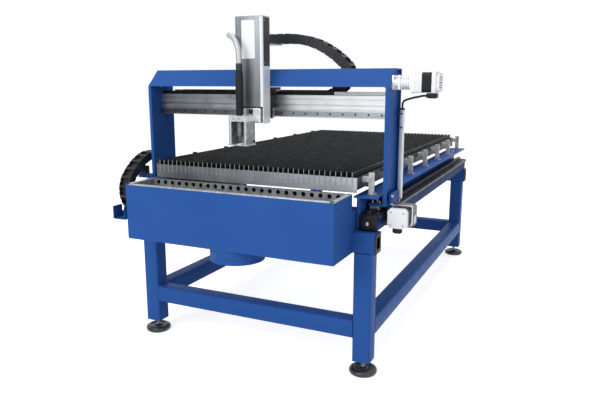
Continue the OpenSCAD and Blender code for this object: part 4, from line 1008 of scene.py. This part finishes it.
def extrusionOutline():
    s = extrusionSettings
    (y0, y1), (z0, z1) = s["y"], s["z"]
    (a, b), (lip, deep, wide), g = (z0 + k for k in s["slot"]), s["slotDeep"], s["grooveDeep"]
    upper, lower = ([(y0, z0 + k), (y0 + g, z0 + k - 1), (y0 + g, z0 + k - 4), (y0, z0 + k - 5)] for k in s["grooves"])
    slot = [(y0, b), (y0 + lip, b), (y0 + lip, b + wide), (y0 + deep, b + wide), (y0 + deep, a - wide),
            (y0 + lip, a - wide), (y0 + lip, a), (y0, a)]
    into, high = s["backSlot"]
    back = [(y1 - 1, z0), (y1, z0 + 1)]
    for k in s["backSlots"]:
        back += [(y1, z0 + k), (y1 - into, z0 + k), (y1 - into, z0 + k + high), (y1, z0 + k + high)]
    return ([(y0, z1 - 1)] + upper + slot + lower + [(y0, z0 + 1), (y0 + 1, z0)] + back
            + [(y1, z1 - 1), (y1 - 1, z1), (y0 + 1, z1)])


def crossExtrusion():
    s = extrusionSettings
    bm, rails = bmesh.new(), bmesh.new()
    x = (-s["halfX"], s["halfX"])
    addPrism(bm, extrusionOutline(), "x", *x)
    makePiece("crossExtrusionBar", bm, ["aluminiumLong"], "gantry", "bright_aluminium", ["cross_extrusion"], angle=30)
    addPrism(rails, [(s["railY"] - v, s["railZ"] + u) for u, v in guideOutline()], "x", *x)
    # the upper rail is black as far as the chain tray reaches
    for a, b, mat in ((x[0], s["trayEnd"], 3), (s["trayEnd"], x[1], 2)):
        addBlock(rails, (a, b), s["topY"], s["topZ"], *sheetEdge, 0, mat)
    face, top, mid = s["railY"] - guideShape["height"], s["topZ"][1], sum(s["topY"]) / 2
    for at in holePlaces(*x):
        addRod(rails, (at, face + 1, s["railZ"]), (at, face - 0.05, s["railZ"]), guideShape["holeD"], 12, 1)
        addRod(rails, (at, mid, top - 1), (at, mid, top + 0.05), guideShape["holeD"], 12, 1)
    makePiece("crossRailBars", rails, ["railSteel", "blackPlastic", "machined", "blackPaint"], "gantry",
              "machined_steel", ["cross_guide_rails"], angle=30)


gantryPlates()
gantryFeet()
beamHood()
crossExtrusion()
print("gantry done")


# cross drive at the right end of the hood, all along one axis

crossDriveSettings = {"y": 182, "z": 1258, "spigot": (608, 620, 46), "adapter": (620, 654), "flange": 8, "neckD": 52,
                      "box": (654, 704), "boxFlange": 12, "boxD": 58, "ribs": (666, 676, 686), "rib": (2, 60),
                      "boltAt": 23, "front": (704, 716, 746), "stator": (746, 787), "lamination": (4.4, 5.125),
                      "rear": (787, 803), "cap": (803, 815), "w": 86, "boxW": 60, "bolt": (8, 6, 12),
                      "coverBoltAt": 34, "coverBolt": (8, 4, 12), "frontLess": 3, "statorLess": (5, 6.5), "capLess": 12,
                      "vents": (-20, -10, 0, 10, 20), "vent": (24, 1.5, 0.6)}


def corners(at):
    return [(a, b) for a in (-at, at) for b in (-at, at)]


def crossDrive():
    s = crossDriveSettings
    y, z = s["y"], s["z"]

    def square(bm, x, w, edge, mat=0, steps=3):
        addBlock(bm, x, about(y, w / 2), about(z, w / 2), edge, steps, 0, mat)

    def turned(bm, x, d, sides, **more):
        addRod(bm, (x[0], y, z), (x[1], y, z), d, sides, **more)

    box = bmesh.new()
    (a, b), (c, d), f = s["adapter"], s["box"], s["flange"]
    w, end = s["boxW"], d - s["boxFlange"]
    square(box, (a, a + f), w, 4)
    turned(box, (a + f, b - f), s["neckD"], 40)
    square(box, (b - f, b), w, 4)
    turned(box, (c, end), s["boxD"], 48, edge=1)
    for x in s["ribs"]:
        turned(box, (x, x + s["rib"][0]), s["rib"][1], 48, mat=1)
    square(box, (end, d), w, 5)
    turned(box, s["spigot"][:2], s["spigot"][2], 32)
    for dy, dz in corners(s["boltAt"]):
        for x, way in ((a + f, 1), (b - f, -1)):
            addScrew(box, (x, y + dy, z + dz), (way, 0, 0), s["bolt"], 1)
    makePiece("crossGearbox", box, ["brightPanel", "machined"], "gantry", "bright_aluminium", ["cross_gearbox"])

    motor = bmesh.new()
    w, (x0, x1, x2) = s["w"], s["front"]
    square(motor, (x0, x1), w, 8, 2)
    square(motor, (x1, x2), w - s["frontLess"], 10)
    x, (plate, pitch), (proud, sunk) = s["stator"][0], s["lamination"], s["statorLess"]
    while x < s["stator"][1] - 1:
        square(motor, (x, x + plate), w - proud, 12, 1, 1)
        square(motor, (x + plate, x + pitch), w - sunk, 12, 1, 1)
        x += pitch
    square(motor, s["rear"], w, 10)
    square(motor, s["cap"], w - s["capLess"], 14, 0, 4)
    for dy, dz in corners(s["coverBoltAt"]):
        addScrew(motor, (s["rear"][1], y + dy, z + dz), (1, 0, 0), s["coverBolt"], 3)
    far, (long, half, deep) = s["cap"][1], s["vent"]
    for dz in s["vents"]:
        addBlock(motor, (far - deep, far), about(y, long), about(z + dz, half), 0.25, 1, mat=1)
    makePiece("crossMotor", motor, ["whitePaint", "blackPaint", "aluminiumBright", "machined"], "gantry",
              "motor_paint", ["cross_motor"])


# side drives: plate, worm gearbox and motor on each side

sideDriveSettings = {"plateX": (620, 630), "plateY": (150, 276), "plateZ": (645, 790), "boltY": (160, 266),
                     "boltZ": (742, 778), "boxX": (630, 720), "boxY": (180, 264), "boxZ": (642, 734),
                     "pinion": (222, 673), "lidD": (58, 44), "lidBolts": (6, 25.5), "fins": (5, 9, 11), "finIn": 14,
                     "bolt": (13, 8, 16), "lidBolt": (6, 1.5, 10), "lidIn": 4, "capIn": (2, 0.4), "boltIn": 0.5,
                     "finY": (263, 266.5), "finHalf": 2}


def sideDrives():
    s = sideDriveSettings
    plates, boxes = bmesh.new(), bmesh.new()
    (py, pz), (lid, cap), (count, ring) = s["pinion"], s["lidD"], s["lidBolts"]
    for sign in (1, -1):
        addBlock(plates, pair(sign, *s["plateX"]), s["plateY"], s["plateZ"], 2, 2)
        for y in s["boltY"]:
            for z in s["boltZ"]:
                addScrew(plates, (sign * s["plateX"][1], y, z), (sign, 0, 0), s["bolt"], 1)
        x, far, (capIn, capOut) = pair(sign, *s["boxX"]), sign * s["boxX"][1], s["capIn"]
        addBlock(boxes, x, s["boxY"], s["boxZ"], 9, 3)
        addRod(boxes, (far - sign * s["lidIn"], py, pz), (far, py, pz), lid, 40)
        addRod(boxes, (far - sign * capIn, py, pz), (far + sign * capOut, py, pz), cap, 40, 1)
        for k in range(count):
            a = math.radians(360 / count * k + 30)
            bolt = (far - sign * s["boltIn"], py + ring * math.cos(a), pz + ring * math.sin(a))
            addScrew(boxes, bolt, (sign, 0, 0), s["lidBolt"], 1)
        fins, first, step = s["fins"]
        for k in range(fins):
            z = about(s["boxZ"][1] - first - step * k, s["finHalf"])
            addBlock(boxes, grow(x, -s["finIn"]), s["finY"], z, *sheetEdge)
    makePiece("drivePlates", plates, ["bluePaint", "machined"], "gantry", "blue_paint", ["drive_plates"])
    makePiece("driveGearboxes", boxes, ["castGrey", "machined"], "gantry", "bright_aluminium", ["drive_gearboxes"])


driveMotorSettings = {"x": 678, "z": 697, "y": (85, 180), "w": 86, "cover": 22, "cut": 13, "coverEdge": 5,
                      "boltAt": 27, "bolt": (8, 2.5, 12), "ring": 3, "lamination": (4.2, 5), "statorLess": (2.5, 3.2),
                      "rest": 6, "restLess": 2, "flange": 14}


def driveMotors():
    s = driveMotorSettings
    bm = bmesh.new()
    (y0, y1), half, mz = s["y"], s["w"] / 2, s["z"]
    c, flange, (plate, pitch), (proud, sunk) = y0 + s["cover"], y1 - s["flange"], s["lamination"], s["statorLess"]

    def square(mx, y, less, edge, steps, mat):
        addBlock(bm, about(mx, half - less), y, about(mz, half - less), edge, steps, 1, mat)

    for mx in (s["x"], -s["x"]):
        # cut corners of the cover, in turn round the face
        near = half - s["cut"]
        octagon = [(mx + a, mz + b) for a, b in ((-half, -near), (-near, -half), (near, -half), (half, -near),
                                                 (half, near), (near, half), (-near, half), (-half, near))]
        moved = addPrism(bm, octagon, "y", c, y0)
        roundEdges(bm, [e for e in edgesOf(moved) if all(v in moved for v in e.verts)], s["coverEdge"], 3)
        for dx, dz in corners(s["boltAt"]):
            addScrew(bm, (mx + dx, y0, mz + dz), (0, -1, 0), s["bolt"], 3)
        y = c + s["ring"]
        square(mx, (c, y), s["ring"], 9, 2, 3)
        while y < flange - s["rest"]:
            square(mx, (y, y + plate), proud, 11, 1, 1)
            square(mx, (y + plate, y + pitch), sunk, 11, 1, 1)
            y += pitch
        square(mx, (y, flange), s["restLess"], 10, 2, 1)
        square(mx, (flange, y1), 0, 5, 2, 2)
    makePiece("driveMotors", bm, ["whitePaint", "blackPaint", "aluminiumBright", "machined"], "gantry", "motor_paint",
              ["drive_motors"])


# plugs below or above the side motors as (side, near end, far end, end of the shell), and one on the cross motor

motorPlugSettings = {"side": ((1, 654, 636, 633), (-1, 740, 758, 761)), "x": (658, 698), "y": (90, 107), "in": (6, 1),
                     "outlet": (678, 98.5, 88, 12, 0.78), "crossX": (761, 803), "crossY": (162, 202),
                     "crossZ": (1196, 1215), "gland": (768, 761, 182, 1204, 17), "keyX": (770, 800), "keyY": (166, 198),
                     "keyZ": (1194, 1196)}


def motorPlugs():
    s = motorPlugSettings
    bm = bmesh.new()
    ox, inner, outer, d, share = s["outlet"]
    for sign, near, far, shell in s["side"]:
        x = pair(sign, *s["x"])
        addBlock(bm, x, s["y"], sorted((near, far)), 2, 2)
        addBlock(bm, grow(x, -s["in"][0]), grow(s["y"], -s["in"][1]), sorted((far, shell)), 1, 1)
        mid = near + (far - near) * share
        addRod(bm, (sign * ox, inner, mid), (sign * ox, outer, mid), d, 20, edge=0.6)
    addBlock(bm, s["crossX"], s["crossY"], s["crossZ"], 3, 2)
    a, b, y, z, d = s["gland"]
    addRod(bm, (a, y, z), (b, y, z), d, 24, edge=0.8)
    addBlock(bm, s["keyX"], s["keyY"], s["keyZ"], *sheetEdge)
    makePiece("motorPlugBodies", bm, ["blackPlastic"], "gantry", "black_plastic", ["motor_plugs"])


conduitSettings = {"x": (620, 640), "y": (280, 300), "z": (748, 1148), "mouth": (6, 8), "clips": (1062, 1122),
                   "clipX": (610, 636), "clipY": (266, 281), "clip": 5, "screwAt": (626, 273), "screw": (6, 2, 10)}


def conduit():
    s = conduitSettings
    bm = bmesh.new()
    x, y, (z0, z1), thick = s["x"], s["y"], s["z"], s["clip"]
    addBlock(bm, x, y, (z0, z1 - s["mouth"][0]), 4, 3, 2)
    addBlock(bm, x, y, (z1 - s["mouth"][1], z1), 4, 3, 2, mat=1)
    for z in s["clips"]:
        addBlock(bm, s["clipX"], s["clipY"], (z, z + thick), *sheetEdge, mat=3)
        addScrew(bm, (*s["screwAt"], z + thick), (0, 0, 1), s["screw"], 2)
    makePiece("cableConduit", bm, ["brightPanel", "blackPlastic", "machined", "bluePaint"], "gantry", "galvanised",
              ["cable_conduit"])


crossDrive()
sideDrives()
driveMotors()
motorPlugs()
conduit()
print("drives done")


# cable chains: open links with overlapping side plates, pivot bosses and cross bars

longChainSettings = {"axis": "x", "side": (-710, -650), "t": 40, "centre": (100, 727), "r": 107, "arc": (135, 270),
                     "fixed": (1050, 620), "upper": (230, 888), "links": (21, 6, 5)}
crossChainSettings = {"axis": "y", "side": (304, 372), "t": 44, "centre": (304, 1295), "r": 62, "arc": (-48, 47),
                      "fixed": (-60, 1160), "upper": (-42, 1460), "links": (9, 3, 9)}
linkSettings = {"flat": 0.2, "plate": 3, "step": 4, "ends": (0.01, 0.09, 0.36, 0.64, 0.91, 0.99), "bossD": 13,
                "boss": (1, 0.8), "bar": (0.36, 0.5, 0.64), "barIn": 0.6, "cables": 3, "cableIn": 9,
                "cableUp": (-7, 5), "fine": 4}


def runPath(start, end, slope):
    # level at the start, then a curve that meets the bend at the slope
    flat = linkSettings["flat"]
    along, rise = end[0] - start[0], end[1] - start[1]
    power = math.tan(math.radians(slope)) * abs(along) * (1 - flat) / max(abs(rise), 0.1)

    def at(share):
        u = max(0.0, share - flat) / (1 - flat)
        climb = rise * power * u ** (power - 1) / (1 - flat)
        return Vector((start[0] + along * share, start[1] + rise * u ** power)), Vector((-climb, along)).normalized()
    return at


def arcPath(centre, r, arc):
    def at(share):
        a = math.radians(arc[0] + (arc[1] - arc[0]) * share)
        normal = Vector((math.cos(a), math.sin(a)))
        return Vector(centre) + normal * r, normal
    return at


def strip(at, shares, low, high):
    # outline between two heights above the path, each a number or one for each share
    pts = [at(share) for share in shares]
    lows, highs = ([h] * len(pts) if isinstance(h, (int, float)) else h for h in (low, high))
    upper = [p + n * h for (p, n), h in zip(pts, highs)]
    return upper + [p + n * h for (p, n), h in reversed(list(zip(pts, lows)))]


def chainPiece(name, node, at, count, s, body, blendTo=None):
    k = linkSettings
    bm = bmesh.new()
    half, plate, step, axis, side = s["t"] / 2, k["plate"], k["step"], s["axis"], s["side"]
    low = half - step
    many = count * k["fine"]
    fine = [i / many for i in range(many + 1)]
    tall = [low, half, half, half, half, low]
    for edge, way in ((side[0], 1), (side[1], -1)):
        addPrism(bm, strip(at, fine, -low, low), axis, edge + way * plate, edge + way * 2 * plate)
        for i in range(count):
            shares = [(i + e) / count for e in k["ends"]]
            addPrism(bm, strip(at, shares, [-h for h in tall], tall), axis, edge, edge + way * plate)
            p, _ = at((i + 0.5) / count)
            addRod(bm, *({"x": (e, p[0], p[1]), "y": (p[0], e, p[1])}[axis]
                         for e in (edge + way * k["boss"][0], edge - way * k["boss"][1])), k["bossD"], 16)
    for i in range(count):
        shares = [(i + e) / count for e in k["bar"]]
        for a, b in ((low, half - k["barIn"]), (k["barIn"] - half, -low)):
            addPrism(bm, strip(at, shares, a, b), axis, *grow(side, -plate))
    # flat cables that lie side by side in the chain
    wide = (side[1] - side[0] - 2 * k["cableIn"]) / k["cables"]
    for i in range(k["cables"]):
        near = side[0] + k["cableIn"] + i * wide
        addPrism(bm, strip(at, fine, k["cableUp"][0], k["cableUp"][1] + i), axis, near + 1, near + wide - 1, mat=1)
    makePiece(name, bm, ["chainPlastic", "cableSheath"], body, "black_plastic", [node], blendTo, angle=30)


def longChain():
    s = longChainSettings
    bend = arcPath(s["centre"], s["r"], s["arc"])
    (lower, turn, top), fixed, upper = s["links"], s["fixed"], s["upper"]
    y, end = s["centre"][0], bend(0)[0]
    chainPiece("longChainLowerRun", "long_chain_lower", runPath(fixed, (y, fixed[1]), 45), lower, s, None,
               ("table", "gantry", row(0, fixed[0], 0), row(0, 2 * y - fixed[0], 0)))
    chainPiece("longChainBendLinks", "long_chain_bend", bend, turn, s, "long_bend")
    chainPiece("longChainUpperRun", "long_chain_upper", runPath(upper, end, s["arc"][0] - 90), top, s, None,
               ("table", "gantry", row(0, 2 * end[0] - upper[0], 0), row(0, upper[0], 0)))


def crossChain():
    s = crossChainSettings
    bend = arcPath(s["centre"], s["r"], s["arc"])
    (lower, turn, top), fixed, upper = s["links"], s["fixed"], s["upper"]
    low, high = bend(0)[0], bend(1)[0]
    chainPiece("crossChainLowerRun", "cross_chain_lower", runPath(fixed, low, 90 + s["arc"][0]), lower, s, None,
               ("gantry", "carriage", row(fixed[0], 0, 0), row(2 * low[0] - fixed[0], 0, 0)))
    chainPiece("crossChainBendLinks", "cross_chain_bend", bend, turn, s, "cross_bend")
    chainPiece("crossChainUpperRun", "cross_chain_upper", runPath(upper, high, 90 - s["arc"][1]), top, s, None,
               ("gantry", "carriage", row(2 * high[0] - upper[0], 0, 0), row(upper[0], 0, 0)))


longChain()
crossChain()
print("chains done")


# lift housing with a bare label plate

housingSettings = {"x": (-70, 68), "y": (48, 118), "z": (1077, 1540), "coverZ": 1152, "radius": 11, "sheet": 4,
                   "turns": (0, 22.5, 45, 67.5, 90), "lit": 1.5, "ear": 4, "screwIn": 14, "screwZ": (1166, 1514),
                   "screw": (7, 1.6, 12), "panelX": (68, 68.8), "panelY": (59, 116), "darkZ": (1330, 1534),
                   "brightZ": (1083, 1327), "panelIn": (8, 12), "panelScrew": (6, 1.4, 12), "label": (-34, 32),
                   "labelY": (46.5, 48), "labelZ": (1360, 1523)}


def foldedFront(x, y, r, inset):
    # plan of a folded sheet with round front corners, from the left rear to the right rear
    turns = [math.radians(a) for a in housingSettings["turns"]]
    corner = [(inset + (r - inset) * (1 - math.cos(a)), inset + (r - inset) * (1 - math.sin(a))) for a in turns]
    return ([(x[0] + inset, y[1])] + [(x[0] + u, y[0] + v) for u, v in corner]
            + [(x[1] - u, y[0] + v) for u, v in reversed(corner)] + [(x[1] - inset, y[1])])


def liftHousing():
    s = housingSettings
    bm = bmesh.new()
    x, y, z, r, t = s["x"], s["y"], s["z"], s["radius"], s["sheet"]
    plan, top = foldedFront(x, y, r, 0), z[1] - t
    addPrism(bm, plan + foldedFront(x, y, r, t)[::-1], "z", s["coverZ"], top)
    # the right front corner is painted bright, as a painted highlight
    edge = row(x[1] - r + s["lit"], y[0] + r - s["lit"], 0)
    quads = [(f, f.calc_center_median()) for f in bm.faces if len(f.verts) == 4]
    paintFaces([f for f, middle in quads if middle.x > edge.x and middle.y < edge.y], 5)
    addPrism(bm, plan, "z", top, z[1])
    addBlock(bm, grow(x, -t), (y[1] - t, y[1]), (z[0], top), mat=1)
    for wall, way in ((x[1], -1), (x[0], 1)):
        addBlock(bm, sorted((wall, wall + way * t)), (y[0] + s["ear"], y[1]), (z[0], s["coverZ"]), *sheetEdge, mat=1)
        for up in s["screwZ"]:
            addScrew(bm, (wall + way * s["screwIn"], y[0], up), (0, -1, 0), s["screw"], 2)
    # dark panel over a bright one on the right side
    for span, mat in ((s["darkZ"], 3), (s["brightZ"], 5)):
        addBlock(bm, s["panelX"], s["panelY"], span, 0.3, 1, mat=mat)
    across, down = s["panelIn"]
    for up in grow(s["darkZ"], -down):
        for back in grow(s["panelY"], -across):
            addScrew(bm, (s["panelX"][1], back, up), (1, 0, 0), s["panelScrew"], 2)
    addBlock(bm, s["label"], s["labelY"], s["labelZ"], 4, 3, 1, mat=4)
    makePiece("liftHousing", bm, ["housingSheet", "aluminiumBright", "machined", "charcoalPaint", "labelFilm",
                                  "brightPanel"], "carriage", "galvanised", ["lift_housing"], angle=30)


# torch lift: carrier with its clamp, guard and torch

liftSettings = {"x": (-58, 56), "y": (45, 110), "z": (1084, 1145), "clampX": (-61, 29), "clampY": (-32, 45),
                "clampZ": (1090, 1115), "torch": (-22, 0.5), "torchD": 34, "seatR": 17.3, "slit": (0.6, 2),
                "pinchAt": 14, "pinch": (8, 3, 16), "boltAt": ((33, 30), (30, -23)), "bolt": (9, 5, 16),
                "sensorX": (2, 54), "sensorY": (41.4, 45), "sensorZ": (1116, 1143), "switchX": (4, 20),
                "switchY": (33, 41.4), "switchZ": (1122, 1142)}


def seatPlan(x, y, r, slit):
    # a plate with a round seat for the torch, slit to the front by a half width and an angle
    centre, (half, gap) = liftSettings["torch"], slit
    return [(centre[0] + half, y[0]), (x[1], y[0]), (x[1], y[1]), (x[0], y[1]), (x[0], y[0]),
            (centre[0] - half, y[0])] + keyhole(centre, r, gap)


def liftCarrier():
    s = liftSettings
    bm = bmesh.new()
    (tx, ty), y, z = s["torch"], s["clampY"], s["clampZ"]
    addBlock(bm, s["x"], s["y"], s["z"], *plateEdge)
    addPrism(bm, seatPlan(s["clampX"], y, s["seatR"], s["slit"]), "z", *z)
    for way in (-1, 1):
        addScrew(bm, (tx + way * s["pinchAt"], y[0], sum(z) / 2), (0, -1, 0), s["pinch"], 1)
        for dx, dy in s["boltAt"]:
            addScrew(bm, (tx + way * dx, ty + dy, z[1]), (0, 0, 1), s["bolt"], 1)
    addBlock(bm, s["sensorX"], s["sensorY"], s["sensorZ"], *sheetEdge)
    addBlock(bm, s["switchX"], s["switchY"], s["switchZ"], *plateEdge, mat=2)
    makePiece("liftCarrierBlock", bm, ["aluminiumBright", "machined", "blackPlastic"], "torch_lift",
              "bright_aluminium", ["lift_carrier"], angle=30)


guardSettings = {"z": (985, 1090), "sheet": 4, "post": 12, "brim": 5, "holeR": 26, "slit": (0.4, 1),
                 "knob": (14, 16, 12), "screwY": (-22, 15), "screwZ": (999, 1078), "screw": (6, 1.6, 12)}


def torchGuard():
    s, lift = guardSettings, liftSettings
    bm = bmesh.new()
    x, y, t, post, brim = lift["clampX"], lift["clampY"], s["sheet"], s["post"], s["brim"]
    low, high = s["z"]
    wall = (low + t, high)
    for a, b in ((x[0], x[0] + t), (x[1] - t, x[1])):
        addBlock(bm, (a, b), y, wall, *sheetEdge)
    for a, b in ((x[0] + t, x[0] + post), (x[1] - post, x[1] - t)):
        addBlock(bm, (a, b), (y[0], y[0] + t), wall, *sheetEdge, mat=1)
    addBlock(bm, grow(x, -t), (y[1] - t, y[1]), wall, 0.6, 1)
    plan = seatPlan(grow(x, brim), (y[0] - brim, y[1]), s["holeR"], s["slit"])
    addPrism(bm, plan, "z", low, low + t, mat=1)
    back, up, d = s["knob"]
    addRod(bm, *((x[1] + out, y[1] - back, low + up) for out in (0, brim)), d, 20, 2, edge=0.8)
    for z in s["screwZ"]:
        for back in s["screwY"]:
            for at, way in ((x[1], 1), (x[0], -1)):
                addScrew(bm, (at, back, z), (way, 0, 0), s["screw"], 3)
    makePiece("torchGuardCage", bm, ["galvanised", "aluminiumBright", "blackPlastic", "machined"], "torch_lift",
              "galvanised", ["torch_guard"])


torchProfiles = {"grips": (1150, 1162, 1174), "gripDeep": 1.2,
                 "collar": [(0, 1305), (13, 1305), (14, 1306), (14, 1314), (12.8, 1315), (12.8, 1318), (14, 1319),
                            (14, 1332), (13.4, 1336), (12.4, 1338), (0, 1338)],
                 "head": [(0, 1004), (4, 1004), (6, 1008), (6, 1019), (9, 1021), (12.5, 1028), (14, 1036), (14, 1058),
                          (12.8, 1060), (12.8, 1063), (14, 1065), (14, 1089), (0, 1090)]}


def torchBody():
    s = torchProfiles
    bm = bmesh.new()
    centre, r, deep = (*liftSettings["torch"], 0), liftSettings["torchD"] / 2, s["gripDeep"]
    tube = [(0, 1116), (r - 1, 1116), (r, 1117), (r, 1140)]
    for z in s["grips"]:
        tube += [(r, z), (r - deep, z + 1), (r - deep, z + 3), (r, z + 4)]
    tube += [(r, 1288), (r - 0.8, 1290), (r - 0.8, 1300), (r - 2, 1305), (0, 1305)]
    addLathe(bm, centre, tube, 40)
    addLathe(bm, centre, [(0, 1090), (r - 0.3, 1090), (r - 0.3, 1116), (0, 1116)], 40)
    addLathe(bm, centre, s["collar"], 36, 1)
    addLathe(bm, centre, s["head"], 36, 2)
    makePiece("torchBodyTube", bm, ["blackPaint", "darkSteel", "castGrey"], "torch_lift", "black_plastic", ["torch"],
              merge=True, angle=32)


liftHousing()
liftCarrier()
torchGuard()
torchBody()
print("torch and lift done")


# CAD pieces that keep their own shape

# the baffle's finish carries painted shade behind its front sheet
cadFinishes = {"baffleSheet": ["trough_baffle"], "bedPlate": ["bed_end_plates"], "slat": ["bed_slats"],
               "darkSteel": ["bed_side_plates", "bed_cross_supports", "torch_carriage"],
               "bluePaint": ["long_chain_tray"], "blackPaint": ["cross_chain_tray", "lift_motor"],
               "machined": ["bearing_blocks", "cross_screw", "screw_bearings", "drive_pinion_left",
                            "drive_pinion_right", "carriage_blocks", "chain_arm", "lift_screw"]}

for kind, nodes in cadFinishes.items():
    for obj in (frame["nodes"][node] for node in nodes):
        if not obj.material_slots:
            obj.data.materials.append(finish[kind])
        for slot in obj.material_slots:
            slot.material = finish[kind]
print("CAD finishes set")


# floor, lamps and white surround; a lamp is its place, power and size

lightSettings = {"world": 0.5, "floor": 0.66, "floorSize": 14, "floorColour": (0.86, 0.86, 0.86, 1), "floorRough": 0.9,
                 "aim": (0, -0.3, 0.7), "lamps": {"key": (-1.2, -5.3, 3.4, 168, 3.5), "fill": (4.5, -3.0, 2.4, 34, 3.0),
                                                  "top": (0.0, 0.6, 5.0, 90, 4.0)}}


def seenDirectly(tree):
    # 1 for the camera and for what shows in metal or through glass
    rays = tree.nodes.new("ShaderNodeLightPath").outputs
    level = rays["Is Camera Ray"]
    for kind in ("Is Glossy Ray", "Is Transmission Ray"):
        level = sums(tree, "MAXIMUM", level, rays[kind])
    return level


def stagePiece(name, bm, mat):
    mesh = bpy.data.meshes.new(name)
    bm.to_mesh(mesh)
    bm.free()
    mesh.materials.append(mat)
    obj = bpy.data.objects.new(name, mesh)
    scene.collection.objects.link(obj)
    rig.stage(obj)
    return obj


def addFloor():
    s = lightSettings
    bm = bmesh.new()
    bmesh.ops.create_grid(bm, x_segments=1, y_segments=1, size=s["floorSize"])
    mat, tree = newTree("paleFloor")
    shader = tree.nodes["Principled BSDF"]
    setInputs(tree, shader, {"Base Color": s["floorColour"], "Roughness": s["floorRough"], "Specular IOR Level": 0.0})
    glow = addNode(tree, "Emission", "Emission", {"Strength": sums(tree, "MULTIPLY", seenDirectly(tree), s["floor"])})
    both = addNode(tree, "AddShader", "Shader", {0: shader.outputs["BSDF"], 1: glow})
    setInputs(tree, tree.nodes["Material Output"], {"Surface": both})
    stagePiece("floor", bm, mat)


cardSettings = {"y": -2.97, "x": (-7.0, -0.2), "z": (0.02, 3.6), "fade": (-0.15, -1.6), "most": 0.97,
                "colour": (0.06, 0.09, 0.13, 1)}


def addDarkCard():
    # a dark card left of the camera that only shows in bare metal
    s = cardSettings
    bm = bmesh.new()
    made = bmesh.ops.create_grid(bm, x_segments=1, y_segments=1, size=0.5)["verts"]
    bmesh.ops.rotate(bm, verts=made, matrix=Matrix.Rotation(math.pi / 2, 3, "X"))
    bmesh.ops.scale(bm, verts=made, vec=(s["x"][1] - s["x"][0], 1, s["z"][1] - s["z"][0]))
    bmesh.ops.translate(bm, verts=made, vec=(sum(s["x"]) / 2, s["y"], sum(s["z"]) / 2))
    mat, tree = newTree("cardFade")
    share = spread(tree, alongAxis(tree, objectPlace(tree), "X"), 0, s["most"], *s["fade"])
    clear = addNode(tree, "BsdfTransparent", "BSDF", {})
    dark = addNode(tree, "Emission", "Emission", {"Color": s["colour"]})
    mix = addNode(tree, "MixShader", "Shader", {"Fac": share, 1: clear, 2: dark})
    setInputs(tree, tree.nodes["Material Output"], {"Surface": mix})
    card = stagePiece("darkCard", bm, mat)
    card.visible_camera = card.visible_diffuse = card.visible_shadow = card.visible_transmission = False


def addLamps():
    for name, (x, y, z, power, size) in lightSettings["lamps"].items():
        data = bpy.data.lights.new(name, "AREA")
        data.energy = power
        data.size = size
        lamp = bpy.data.objects.new(name, data)
        lamp.location = (x, y, z)
        lamp.rotation_euler = (Vector(lightSettings["aim"]) - lamp.location).to_track_quat("-Z", "Y").to_euler()
        scene.collection.objects.link(lamp)


def addWorld():
    world = bpy.data.worlds.new("surround")
    scene.world = world
    world.use_nodes = True
    tree = world.node_tree
    setInputs(tree, tree.nodes["Background"], {
        "Color": (1, 1, 1, 1), "Strength": spread(tree, seenDirectly(tree), lightSettings["world"], 1, 0, 1)})


addFloor()
addDarkCard()
addLamps()
addWorld()
print("stage set")

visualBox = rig.bounds()
with open("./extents.json", "w") as out:
    json.dump({"cad": [list(p) for p in cadBox], "visual": [list(p) for p in visualBox]}, out)
